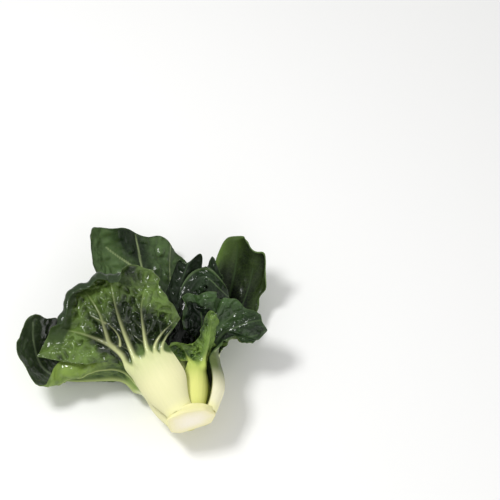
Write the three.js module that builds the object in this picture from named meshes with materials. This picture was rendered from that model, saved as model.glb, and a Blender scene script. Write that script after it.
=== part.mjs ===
// One head of baby bok choy lying on its side: a cut stump and nine leaves round a head axis.
// Each leaf is one closed body: a fleshy stalk that fans out into a thin waved blade with ribs.
// Millimetres, +Z up.  X runs to the right, Y runs away along the leaves.
import * as THREE from 'three';

// ---------- the head ----------
const HEAD_TURN = 14;          // the head axis leans this many degrees to the left of +Y
const HEAD_HEIGHT = 29;        // height of the head axis over the surface
const BLADE = 0.8;             // thickness of a blade
const STATIONS = 160;          // points along a midrib
const ROOT_Z = 4.3;            // the stalks begin this far above the cut face
const IRIS = -10;              // degrees each outer stalk is turned so that one edge tucks in
const CROWD = 0.35;            // how much the rows of a blade crowd towards its rim
const REST_Z = 0;              // nothing reaches below this height

// ---------- the stump ----------
const STUMP_HEIGHT = 4;
const STUMP_TOP_RADIUS = 16.2;
const STUMP_SIDES = 42;
// corners of the cut face, right and up from the head axis
const CUT_FACE = [
  [16.5, 2], [9.5, 12], [-6, 13.8], [-16.4, 9.5], [-14.6, -8], [-8, -12], [13, -7.5],
];

const rad = (d) => d * Math.PI / 180;
const clamp = (t, a, b) => Math.min(b, Math.max(a, t));
const mix = (a, b, t) => a + (b - a) * t;
const smooth = (a, b, t) => {
  const k = clamp((t - a) / (b - a), 0, 1);
  return k * k * (3 - 2 * k);
};
const add = (a, b, k = 1) => [a[0] + b[0] * k, a[1] + b[1] * k, a[2] + b[2] * k];
const sub = (a, b) => add(a, b, -1);
const dot = (a, b) => a[0] * b[0] + a[1] * b[1] + a[2] * b[2];
const cross = (a, b) => [
  a[1] * b[2] - a[2] * b[1],
  a[2] * b[0] - a[0] * b[2],
  a[0] * b[1] - a[1] * b[0],
];
const unit = (a) => {
  const l = Math.hypot(a[0], a[1], a[2]) || 1;
  return [a[0] / l, a[1] / l, a[2] / l];
};

// a point given as right, up and along the head axis
const TURN = rad(HEAD_TURN);
const head = (x, y, z) => [
  x * Math.cos(TURN) - z * Math.sin(TURN),
  x * Math.sin(TURN) + z * Math.cos(TURN),
  HEAD_HEIGHT + y,
];

// stalk points from radius, distance along the axis and sideways drift
function stalkRoute(phi, profile) {
  const c = Math.cos(rad(phi));
  const s = Math.sin(rad(phi));
  return profile.map(([r, z, d]) => head(r * c - d * s, r * s + d * c, z));
}

const inward = (phi) => {
  const c = Math.cos(rad(phi));
  const s = Math.sin(rad(phi));
  return [-c * Math.cos(TURN), -c * Math.sin(TURN), -s];
};

// clamped uniform cubic B-spline through few hand-placed points
function spline(points, per) {
  const n = points.length;
  const first = points[0].map((v, k) => 2 * v - points[1][k]);
  const last = points[n - 1].map((v, k) => 2 * v - points[n - 2][k]);
  const q = [first, ...points, last];
  const out = [];
  for (let i = 0; i < n - 1; i += 1) {
    for (let j = 0; j < per; j += 1) {
      const t = j / per;
      const w = [
        (1 - t) ** 3,
        3 * t ** 3 - 6 * t ** 2 + 4,
        -3 * t ** 3 + 3 * t ** 2 + 3 * t + 1,
        t ** 3,
      ];
      out.push(points[0].map((_, k) => (
        (w[0] * q[i][k] + w[1] * q[i + 1][k] + w[2] * q[i + 2][k] + w[3] * q[i + 3][k]) / 6)));
    }
  }
  out.push(points[n - 1]);
  return out;
}

// value on a row of numbers or points, s running from 0 to 1
function along(row, s) {
  const t = clamp(s, 0, 1) * (row.length - 1);
  const i = Math.min(Math.floor(t), row.length - 2);
  const f = t - i;
  if (typeof row[0] === 'number') {
    return mix(row[i], row[i + 1], f);
  }
  return row[i].map((v, k) => mix(v, row[i + 1][k], f));
}

// a midrib with a frame carried along it: t forward, n out of the inner face, a to its right
class Midrib {
  constructor(points, facing, twist, span) {
    const line = spline(points, 24);
    const dist = [0];
    for (let i = 1; i < line.length; i += 1) {
      dist.push(dist[i - 1] + Math.hypot(...sub(line[i], line[i - 1])));
    }
    this.length = dist[dist.length - 1];
    this.m = [];
    let k = 0;
    for (let i = 0; i < STATIONS; i += 1) {
      const s = this.length * i / (STATIONS - 1);
      while (k < line.length - 2 && dist[k + 1] < s) k += 1;
      const f = clamp((s - dist[k]) / (dist[k + 1] - dist[k]), 0, 1);
      this.m.push(add(line[k], sub(line[k + 1], line[k]), f));
    }
    this.t = this.m.map((_, i) => (
      unit(sub(this.m[Math.min(i + 1, STATIONS - 1)], this.m[Math.max(i - 1, 0)]))));
    let v = facing;
    this.n = [];
    this.a = [];
    for (let i = 0; i < STATIONS; i += 1) {
      const t = this.t[i];
      v = unit(add(v, t, -dot(v, t)));
      const side = cross(t, v);
      const turn = rad(twist) * smooth(span[0], span[1], i / (STATIONS - 1));
      const n = add(v.map((c) => c * Math.cos(turn)), side, Math.sin(turn));
      this.n.push(n);
      this.a.push(cross(t, n));
    }
  }

  at(y) {
    const s = y / this.length;
    let m = along(this.m, s);
    if (y < 0) m = add(m, this.t[0], y);
    if (y > this.length) m = add(m, this.t[STATIONS - 1], y - this.length);
    return [m, along(this.n, s), along(this.a, s)];
  }
}

// walk over arcs of given length and curvature from the midrib outward
function walk(arcs) {
  let x = 0;
  let z = 0;
  let turn = 0;
  for (const [length, curve] of arcs) {
    const k = Math.abs(curve) < 1e-6 ? 1e-6 : curve;
    const dx = Math.sin(k * length) / k;
    const dz = (1 - Math.cos(k * length)) / k;
    x += Math.cos(turn) * dx - Math.sin(turn) * dz;
    z += Math.sin(turn) * dx + Math.cos(turn) * dz;
    turn += k * length;
  }
  return [x, z];
}

// keeps a point above a height and in front of the plane where the stalks begin
function trim(p, low) {
  const s = -p[0] * Math.sin(TURN) + p[1] * Math.cos(TURN);
  const q = s < ROOT_Z ? add(p, [-Math.sin(TURN), Math.cos(TURN), 0], ROOT_Z - s) : p;
  return [q[0], q[1], Math.max(q[2], low)];
}

class Leaf {
  constructor(p) {
    Object.assign(this, {
      stalk: [9, 17, 14],
      wrap: [14, 24, 30],
      cup: [0, 0],
      roll: [0, 0],
      reach: [30, 30],
      waves: [],
      pleats: [],
      lips: [],
      scallops: [],
      notches: [],
      ribs: [[0, 1, 0.07]],
      flesh: 6,
      rootFlesh: 0.8,
      ribHeight: 2.2,
      twist: 0,
      span: [0.3, 1],
    }, p);
    const stalk = stalkRoute(p.phi, p.profile);
    const tilt = p.tilt === undefined ? IRIS : p.tilt;
    this.rib = new Midrib([...stalk, ...p.route], inward(p.phi + tilt), this.twist, this.span);
    this.length = this.rib.length;
    this.blade = this.length - this.neck;
    this.rim = spline(this.outline.map(([deg, r]) => (
      [r * Math.sin(rad(deg)), r * Math.cos(rad(deg))])), 12);
  }

  // half width of the stalk at y
  half(y) {
    const [w0, w1, w2] = this.stalk;
    const mid = this.neck * 0.5;
    if (y < mid) return mix(w0, w1, smooth(0, mid, y));
    return mix(w1, w2, smooth(mid, this.neck, y));
  }

  // the rim of the blade at u, with its shallow scallops and small tears
  edge(u) {
    const [x, y] = along(this.rim, (u + 1) / 2);
    let k = 1;
    for (const [amp, n, phase] of this.scallops) {
      k += amp * Math.sin(n * Math.PI * u + phase) * (1 - u ** 6);
    }
    for (const [at, depth, width] of this.notches) {
      k -= depth * Math.exp(-(((u - at) / width) ** 2));
    }
    return [x * k, y * k];
  }

  // u from -1 to 1 across; v 0 to 1 along the stalk, 1 to 2 from the neck to the rim of the blade
  flat(u, v) {
    if (v <= 1) {
      const y = v * this.neck;
      return { x: u * this.half(y), y, t: 0, u };
    }
    const t = v - 1;
    const [rx, ry] = this.edge(u);
    const [, , w2] = this.stalk;
    return {
      x: mix(u * w2, rx, t),
      y: this.neck + ry * t,
      t,
      u,
    };
  }

  base(x, y) {
    const [m, n, a] = this.rib.at(y);
    const side = x >= 0 ? 0 : 1;
    const l = Math.abs(x);
    const w = 1 / along(this.wrap, y / this.neck);
    const open = smooth(this.neck * 0.8, this.neck + this.blade * 0.35, y);
    const core = mix(w, this.cup[side], open);
    const inner = this.half(Math.min(y, this.neck));
    const l1 = Math.min(l, inner);
    const l2 = clamp(l - inner, 0, Math.max(this.reach[side] - inner, 0));
    const l3 = Math.max(l - Math.max(this.reach[side], inner), 0);
    const [px, pz] = walk([[l1, core], [l2, this.cup[side]], [l3, this.roll[side]]]);
    return add(add(m, a, Math.sign(x) * px), n, pz);
  }

  normal(x, y) {
    const h = 0.5;
    const dx = sub(this.base(x + h, y), this.base(x - h, y));
    const dy = sub(this.base(x, y + h), this.base(x, y - h));
    return unit(cross(dx, dy));
  }

  // a point of the inner face
  point(u, v) {
    const f = this.flat(u, v);
    let { x, y } = f;
    let lift = 0;
    if (f.t > 0) {
      const q = 1 - (1 - f.t) * (1 - Math.abs(u) ** 3);
      const grow = smooth(0, 0.4, f.t);
      const theta = Math.atan2(x, y - this.neck - 0.3 * this.blade);
      for (const [amp, n, phase] of this.waves) {
        lift += amp * Math.sin(n * theta + phase) * smooth(0.35, 1, q) * grow;
      }
      for (const [amp, n, phase] of this.pleats) {
        lift += amp * Math.cos(n * Math.PI * u + phase) * smooth(0, 0.6, f.t) * (1 - 0.3 * f.t);
      }
      // lips: the rim turned over on an arc, towards the inner face when the radius is positive
      for (const [from, to, width, radius] of this.lips) {
        const [rx, ry] = this.edge(u);
        const ux = rx - u * this.stalk[2];
        const run = Math.hypot(ux, ry);
        const soft = 0.12;
        const part = smooth(from - soft, from + soft, u) * (1 - smooth(to - soft, to + soft, u));
        const over = Math.max(0, run * (f.t - 1) + width) * part;
        const turn = over / Math.abs(radius);
        const back = over - Math.abs(radius) * Math.sin(turn);
        x -= back * ux / run;
        y -= back * ry / run;
        lift += radius * (1 - Math.cos(turn));
      }
    }
    const n = this.normal(x, y);
    return { p: add(this.base(x, y), n, lift), f };
  }

  thick({ x, y, t, u }) {
    const w = this.half(Math.min(y, this.neck));
    const pet = 1 - smooth(this.neck * 0.72, this.neck + 0.22 * this.blade, y);
    const root = mix(this.rootFlesh, 1, smooth(0, this.neck * 0.35, y));
    const c = clamp(Math.abs(x) / w, 0, 1);
    const body = this.flesh * root * (1 - c ** 2) * pet;
    let ridge = 0;
    for (const [at, size] of this.ribs) {
      if (Math.abs(u - at) < 1e-6) {
        ridge = this.ribHeight * size * smooth(-0.25, 0.1, t) * (1 - 0.8 * t);
      }
    }
    return BLADE + body + ridge * smooth(this.neck * 0.75, this.neck, y);
  }

  // columns: evenly spread, with three close ones at each rib
  columns() {
    const out = [];
    for (let i = 0; i <= this.cols; i += 1) {
      const u = -1 + 2 * i / this.cols;
      const near = this.ribs.some(([at, , foot]) => Math.abs(u - at) < (foot || 0.05) * 1.4);
      if (!near || i === 0 || i === this.cols) out.push(u);
    }
    for (const [at, , foot] of this.ribs) {
      out.push(at - (foot || 0.05), at, at + (foot || 0.05));
    }
    return out.sort((a, b) => a - b);
  }

  mesh() {
    const us = this.columns();
    const vs = [];
    for (let i = 0; i < this.rows[0]; i += 1) vs.push(i / this.rows[0]);
    for (let i = 0; i <= this.rows[1]; i += 1) {
      const k = i / this.rows[1];
      vs.push(1 + k * (1 + CROWD * (1 - k)));
    }
    const C = us.length;
    const R = vs.length;
    const grid = vs.map((v) => us.map((u) => this.point(u, v)));
    const at = (r, c) => grid[clamp(r, 0, R - 1)][clamp(c, 0, C - 1)].p;
    const front = [];
    const back = [];
    for (let r = 0; r < R; r += 1) {
      for (let c = 0; c < C; c += 1) {
        const n = unit(cross(sub(at(r, c + 1), at(r, c - 1)), sub(at(r + 1, c), at(r - 1, c))));
        const p = at(r, c);
        const b = add(p, n, -this.thick(grid[r][c].f));
        front.push(trim(p, REST_Z + BLADE));
        back.push(trim(b, REST_Z));
      }
    }
    const face = [];
    const N = R * C;
    const id = (r, c, s) => s * N + r * C + c;
    for (let r = 0; r < R - 1; r += 1) {
      for (let c = 0; c < C - 1; c += 1) {
        const a = id(r, c, 0);
        const b = id(r, c + 1, 0);
        const d = id(r + 1, c + 1, 0);
        const e = id(r + 1, c, 0);
        face.push(a, b, d, a, d, e);
        face.push(a + N, d + N, b + N, a + N, e + N, d + N);
      }
    }
    const ring = [];
    for (let c = 0; c < C; c += 1) ring.push([0, c]);
    for (let r = 1; r < R; r += 1) ring.push([r, C - 1]);
    for (let c = C - 2; c >= 0; c -= 1) ring.push([R - 1, c]);
    for (let r = R - 2; r > 0; r -= 1) ring.push([r, 0]);
    ring.forEach(([r, c], i) => {
      const [r2, c2] = ring[(i + 1) % ring.length];
      face.push(id(r, c, 0), id(r, c, 1), id(r2, c2, 1));
      face.push(id(r, c, 0), id(r2, c2, 1), id(r2, c2, 0));
    });
    const geometry = new THREE.BufferGeometry();
    geometry.setAttribute('position', new THREE.Float32BufferAttribute([...front, ...back].flat(), 3));
    geometry.setIndex(face);
    geometry.computeVertexNormals();
    return geometry;
  }
}

// ---------- the leaves ----------
// phi: place round the head, 0 to the right, 90 on top, 270 underneath
// profile: stalk points as radius, distance along the axis, sideways drift
// route: blade points of the midrib; outline: rim of the blade as angle and distance from the neck
const LEAVES = {
  outer_leaf_front: {
    phi: 131,
    tilt: -7,
    profile: [[11.5, ROOT_Z, 0], [15.5, 12, 0.4], [22, 24, 1.2], [24, 34, 2.2]],
    route: [[-41, 52, 57], [-50, 68, 64], [-57, 84, 68], [-62, 98, 68]],
    neck: 46,
    stalk: [10, 18.2, 17],
    wrap: [14, 24, 45],
    outline: [
      [-80, 34], [-60, 43], [-42, 54], [-26, 61], [-10, 69], [5, 76], [20, 79], [36, 75],
      [50, 68], [63, 74],
    ],
    cup: [-0.003, -0.004],
    roll: [-0.004, -0.012],
    reach: [38, 24],
    waves: [[2.2, 6, 0.6]],
    scallops: [[0.02, 7, 0.4]],
    lips: [[-0.3, 0.72, 17, -5]],
    ribs: [
      [-0.72, 0.8, 0.045], [-0.38, 0.9, 0.045], [0, 1, 0.045],
      [0.36, 1.2, 0.05], [0.74, 1.3, 0.05],
    ],
    cols: 22,
    rows: [7, 13],
    color: 0x4a6b32,
  },
  outer_leaf_left: {
    phi: 209,
    profile: [[11.5, ROOT_Z, 0], [15.5, 12, 0], [21, 24, 0], [21.5, 33, 0]],
    route: [
      [-42, 46, 15], [-61, 48, 9], [-83, 48, 5], [-102, 51, 8], [-107, 59, 26],
      [-107, 69, 48],
    ],
    neck: 45,
    stalk: [5.3, 10.5, 10.5],
    outline: [
      [-85, 22], [-62, 34], [-44, 48], [-31, 60], [-20, 80], [-12, 101], [-7, 112],
      [-1, 114], [6, 111], [13, 102], [22, 86], [34, 62], [58, 38], [82, 24],
    ],
    cup: [0.012, 0.006],
    roll: [0.03, 0.01],
    reach: [20, 20],
    flesh: 5,
    twist: -88,
    waves: [[1.8, 6, 0]],
    scallops: [[0.025, 6, 0]],
    notches: [[-0.6, 0.15, 0.07]],
    lips: [[-1.15, -0.44, 21, 8]],
    cols: 18,
    rows: [6, 11],
    color: 0x33502b,
  },
  outer_leaf_back: {
    phi: 265,
    profile: [[11.5, ROOT_Z, 0], [15.5, 12, 0], [22.3, 26, 0], [22.5, 40, 0]],
    route: [[-21, 72, 6], [-33, 98, 9], [-45, 122, 16], [-55, 144, 31], [-57, 151, 44]],
    neck: 54,
    stalk: [5, 12, 12],
    outline: [
      [-72, 30], [-46, 48], [-28, 66], [-17, 86], [-11, 110], [-7, 121], [0, 115],
      [10, 104], [18, 102], [26, 96], [34, 84], [48, 56], [74, 26],
    ],
    cup: [0.002, 0.008],
    roll: [0.006, 0.012],
    reach: [22, 22],
    flesh: 7,
    waves: [[1.8, 6, 0]],
    scallops: [[0.015, 7, 0]],
    cols: 18,
    rows: [6, 12],
    color: 0x2f4a2a,
  },
  outer_leaf_far: {
    phi: 316,
    profile: [[11.5, ROOT_Z, 0], [15.5, 12, 0], [21.5, 26, 0], [22, 40, 0]],
    route: [[11, 72, 13], [21, 98, 12.5], [30, 119, 20], [36, 134, 37], [38, 141, 53]],
    neck: 54,
    stalk: [4.8, 11, 11],
    outline: [
      [-72, 18], [-36, 34], [-18, 56], [-14, 78], [-9, 94], [-3, 98], [2, 95.5], [7, 97],
      [12, 87], [23, 54], [42, 31], [64, 15],
    ],
    cup: [0.012, 0.012],
    roll: [0.02, 0.02],
    reach: [20, 20],
    twist: 55,
    span: [0.35, 0.75],
    waves: [[1.8, 6, 0]],
    scallops: [[0.02, 6, 1]],
    lips: [[-0.1, 0.6, 8, 4.5]],
    cols: 18,
    rows: [6, 12],
    color: 0x2c4627,
  },
  outer_leaf_right: {
    phi: 9,
    profile: [[11.8, ROOT_Z, 0], [17, 12, 0], [23.2, 24, 0], [21.3, 38, 0]],
    route: [[10.2, 60.5, 38], [14.5, 70.5, 44], [18, 78, 48], [21, 84, 50]],
    neck: 54,
    stalk: [5.4, 11, 9.6],
    outline: [
      [-80, 20], [-64, 32], [-46, 33], [-22, 30], [6, 31], [26, 36], [44, 41], [62, 42],
      [78, 30],
    ],
    cup: [0.005, 0.03],
    roll: [-0.02, 0.02],
    reach: [20, 20],
    twist: 88,
    span: [0.42, 0.72],
    waves: [[2, 7, 0]],
    scallops: [[0.04, 6, 0]],
    cols: 18,
    rows: [7, 10],
    color: 0x355a2f,
  },
  inner_leaf_lime: {
    phi: 53,
    tilt: 0,
    profile: [[6.5, ROOT_Z, 0], [10, 15, -1.5], [13, 26, -3], [14, 38, -6]],
    route: [[9.5, 50, 45.5], [11.5, 58, 51], [13, 66, 57]],
    neck: 35,
    stalk: [6.5, 11, 8],
    wrap: [10, 14, 10],
    outline: [
      [-50, 9], [-22, 19], [-8, 33], [1, 38], [8, 34], [13, 25], [22, 17.5], [42, 13.5],
      [60, 20], [74, 26], [90, 26], [104, 21],
    ],
    cup: [0.05, 0.12],
    roll: [-0.05, 0.12],
    reach: [8, 8],
    flesh: 4,
    waves: [[1.2, 7, 0]],
    cols: 12,
    rows: [6, 8],
    color: 0x6f8f3c,
  },
  heart_leaf_arched: {
    phi: 110,
    tilt: 0,
    profile: [[3, ROOT_Z, 0], [5, 20, 0], [7, 36, 0]],
    route: [
      [-9, 62, 31], [-8, 80, 37], [-3, 96, 45], [5, 103, 51], [11, 99, 52], [17, 94, 48],
      [24, 93, 38],
    ],
    neck: 48,
    stalk: [3, 6, 6],
    wrap: [8, 10, 12],
    outline: [
      [-60, 10], [-16, 36], [-9, 62], [-5, 82], [0, 90], [3, 82], [5, 62], [11, 36],
      [60, 10],
    ],
    cup: [0.04, 0.04],
    roll: [0.05, 0.05],
    reach: [10, 10],
    flesh: 3,
    waves: [[1.4, 6, 0]],
    cols: 12,
    rows: [5, 12],
    color: 0x3d5e2c,
  },
  heart_leaf_left: {
    phi: 205,
    tilt: 0,
    profile: [[4, ROOT_Z, 0], [7, 20, 0], [8, 36, 0]],
    route: [[-20, 60, 23], [-19, 84, 24], [-9, 108, 33], [-2, 125, 46]],
    neck: 48,
    stalk: [3, 6, 6],
    wrap: [8, 10, 12],
    outline: [
      [-60, 10], [-12, 36], [-7, 60], [-5, 76], [2, 84], [9, 79], [13, 64], [19, 38],
      [60, 12],
    ],
    cup: [0.03, 0.03],
    roll: [0.03, 0.03],
    reach: [10, 10],
    flesh: 3,
    twist: -35,
    span: [0.3, 0.6],
    waves: [[1.8, 6, 0]],
    scallops: [[0.05, 5, 0]],
    cols: 12,
    rows: [5, 10],
    color: 0x3d5e2c,
  },
  heart_leaf_right: {
    phi: 335,
    tilt: 0,
    profile: [[4, ROOT_Z, 0], [7, 20, 0], [8, 36, 0]],
    route: [[-3, 60, 19], [4, 84, 22], [11, 109, 32], [14, 125, 43]],
    neck: 48,
    stalk: [3, 6, 6],
    wrap: [8, 10, 12],
    outline: [
      [-60, 12], [-19, 36], [-11, 60], [-8, 72], [0, 76], [8, 72], [11, 60], [19, 36],
      [60, 12],
    ],
    cup: [0.03, 0.03],
    roll: [0.03, 0.03],
    reach: [10, 10],
    flesh: 3,
    twist: 35,
    span: [0.3, 0.6],
    waves: [[1.8, 6, 2]],
    scallops: [[0.05, 5, 1]],
    cols: 12,
    rows: [5, 10],
    color: 0x3d5e2c,
  },
};

// ---------- the stump: a short stub, many-cornered at the flat cut and round at its flat top ----------
function stumpGeometry() {
  const rings = [
    [0, 0, 0.95], [0.6, 0.1, 1], [2, 0.55, 1], [STUMP_HEIGHT - 0.6, 1, 1], [STUMP_HEIGHT, 1, 0.96],
  ];
  const corners = CUT_FACE.length;
  const points = [];
  for (const [z, round, size] of rings) {
    for (let i = 0; i < STUMP_SIDES; i += 1) {
      const t = i * corners / STUMP_SIDES;
      const k = Math.floor(t);
      const f = smooth(-0.25, 1.25, t - k);
      const from = CUT_FACE[k];
      const to = CUT_FACE[(k + 1) % corners];
      const x = mix(from[0], to[0], f);
      const y = mix(from[1], to[1], f);
      const r = Math.hypot(x, y);
      const grow = size * mix(r, STUMP_TOP_RADIUS, round) / r;
      points.push(head(x * grow, y * grow, z));
    }
  }
  const low = points.length;
  points.push(head(0, 0, 0));
  points.push(head(0, 0, STUMP_HEIGHT));
  const face = [];
  const n = STUMP_SIDES;
  for (let i = 0; i < n; i += 1) {
    const j = (i + 1) % n;
    for (let k = 0; k < rings.length - 1; k += 1) {
      const a = k * n + i;
      const b = k * n + j;
      face.push(a, a + n, b + n, a, b + n, b);
    }
    face.push(low, i, j);
    const top = (rings.length - 1) * n;
    face.push(low + 1, top + j, top + i);
  }
  const geometry = new THREE.BufferGeometry();
  geometry.setAttribute('position', new THREE.Float32BufferAttribute(points.flat(), 3));
  geometry.setIndex(face);
  geometry.computeVertexNormals();
  return geometry;
}

const group = new THREE.Group();
group.name = 'bok_choy';

function place(name, geometry, color, roughness) {
  const material = new THREE.MeshStandardMaterial({ color, roughness, metalness: 0 });
  material.name = name;
  const mesh = new THREE.Mesh(geometry, material);
  mesh.name = name;
  group.add(mesh);
}

place('stump', stumpGeometry(), 0xf2ecca, 0.55);
for (const [name, spec] of Object.entries(LEAVES)) {
  place(name, new Leaf(spec).mesh(), spec.color, 0.45);
}

// origin: the middle of the underside of the box round everything
const box = new THREE.Box3().setFromObject(group);
group.position.set(
  -(box.min.x + box.max.x) / 2,
  -(box.min.y + box.max.y) / 2,
  -box.min.z,
);
group.updateMatrixWorld(true);

export default group;
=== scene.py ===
"""One head of baby bok choy lying on its side: a cut stump, pale fleshy stalks and dark blistered leaves.

Every leaf is a flat sheet of cells laid on a leaf surface. Lengths in the leaf formulas are millimetres
in the head's own frame (X right, Y away, Z up) and become metres of the part's frame at the very end.
"""

import math

import bmesh
import bpy
import numpy as np
from bpy.props import FloatProperty, FloatVectorProperty, PointerProperty
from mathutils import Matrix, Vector


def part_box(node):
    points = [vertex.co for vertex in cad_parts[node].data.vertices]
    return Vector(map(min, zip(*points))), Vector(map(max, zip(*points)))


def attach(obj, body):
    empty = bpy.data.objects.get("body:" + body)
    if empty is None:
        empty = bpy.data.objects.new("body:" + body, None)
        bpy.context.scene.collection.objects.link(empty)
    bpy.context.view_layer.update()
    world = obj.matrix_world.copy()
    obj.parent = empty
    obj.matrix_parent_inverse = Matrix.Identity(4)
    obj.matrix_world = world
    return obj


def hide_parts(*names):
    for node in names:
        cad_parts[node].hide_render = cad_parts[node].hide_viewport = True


bl_info = {
    "name": "Bok Choy Head",
    "version": (1, 0, 0),
    "blender": (4, 5, 0),
    "location": "3D View > Sidebar > Bok Choy",
    "description": "Builds a head of bok choy with blistered leaves, pale stalks and a cut stump",
    "category": "Add Mesh",
}

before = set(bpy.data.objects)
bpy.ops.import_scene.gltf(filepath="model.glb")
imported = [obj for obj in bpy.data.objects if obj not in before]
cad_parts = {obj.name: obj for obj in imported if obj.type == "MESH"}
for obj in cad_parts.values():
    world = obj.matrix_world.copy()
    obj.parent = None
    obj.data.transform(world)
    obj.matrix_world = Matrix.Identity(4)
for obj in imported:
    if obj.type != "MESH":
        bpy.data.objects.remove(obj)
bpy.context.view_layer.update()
METRE = 1000.0  # in millimetres

# ---------- the head ----------
HEAD_TURN = math.radians(14)  # the head's axis, from straight away towards the left
HEAD_HEIGHT = 29.0  # the axis above the surface
ROOT_Z = 4.3  # where the stalks start, measured along the axis from the cut
SUNK_ROOT_Z = 2.6  # no stalk comes nearer the cut than this
OUTER_TILT = -10  # outer stalks face a little past the axis, so that they overlap
STUMP_LOW = (-16.523, -3.738)  # the stump's lowest X and Y in the head's own frame

_low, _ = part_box("stump")
TO_PART = np.array([_low.x * METRE - STUMP_LOW[0], _low.y * METRE - STUMP_LOW[1], 0.0])

# ---------- the leaves ----------
# u runs across a leaf from -1 to 1, t up its blade from 0 at the neck to 1 at the rim. Angles are degrees
# from the midrib, distances are from the neck, and pairs are for the right and the left half.
# Each leaf has
#   phi: its place round the head in degrees, 0 to the right, 90 on top, 270 underneath
#   neck: the length of its stalk
#   stalk: half widths at the foot, halfway up and at the neck
#   profile: points of the stalk as radius, distance along the axis and sideways drift
#   route: the midrib's points in the blade
#   outline: the blade's rim as angle and distance
#   cup, roll, reach: curvature across the blade next to the midrib, and from reach outwards
#   waves: large waves as height, count and phase
#   veins: half width at the foot, then the run as angle and distance
#   blister, blister_size: height and width of the blisters
#   seed: gives it its own blisters and small veins
# and what follows, where it differs
DEFAULTS = {
    "tilt": OUTER_TILT,  # degrees by which the stalk's face is turned away from the axis
    "wrap": (14, 24, 30),  # radii of the stalk's hollow face at the foot, halfway up and at the neck
    "flesh": 6,  # thickness of the stalk
    "root_flesh": 0.8,  # share of it at the foot
    "twist": 0,  # degrees by which the blade turns about the midrib
    "span": (0.3, 1),  # where it turns, as shares of the midrib
    "scallops": [],  # waves of the outline as depth, count and phase
    "notches": [],  # dents of the outline as u, depth and width
    "lips": [],  # turned rims as u from, u to, width and radius, which is negative for an outward turn
    "ruffles": [(0.6, 21, 0.5), (0.4, 34, 2.0)],  # short waves of the rim as height, count and phase
    "folds": [],  # soft creases as angle, from, to, width and height
    "branch_step": 9.0,  # spacing of the small veins
    "branch_length": 17.0,
    "branch_strength": 0.38,  # how pale they are
    "fade": 0.3,  # how green the veins turn towards their ends
    "vein_from": (-2, -1),  # the veins show from the first t to the second on
    "bulges": [],  # places with higher blisters as u, t, radius and amount
    "hollow": 0.8,  # how deep the tissue sinks between the ribs
    "pockets": 0.3,  # how much shade is painted along them, low in the blade
    "shade": 0.0,  # painted shade: how much darker the blade is near its foot, deep inside the head
    "green_start": 1.5,  # where the green starts, from the neck
    "blur": 1.6,  # how softly
    "wedge": 6.0,  # how much lower between the ribs
    "dip": 0.0,  # how much lower on the left half
    "bands": [],  # smooth turned stretches of the rim as u from, u to and width
    "rims": [],  # painted highlights and reflection along it, partly the rim's own lighter tone, as u from, u to, width and amount
    "spots": [],  # lighter or darker places as u, t, radius and amount: painted light where a part is lit, painted shade in folds and hollows, painted sheen, and partly the leaf's own tone
    "columns": 132,
    "stalk_rows": 44,
    "blade_rows": 92,
}
HEART_LEAF = {
    "tilt": 0, "neck": 48, "stalk": (3, 6, 6), "wrap": (8, 10, 12),
    "reach": (10, 10), "flesh": 3,
    "blister": 2.2, "blister_size": 4.2,
    # painted shade at the foot of the blades, deep inside the head
    "shade": 0.8,
    "columns": 100, "stalk_rows": 24,
}
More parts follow.
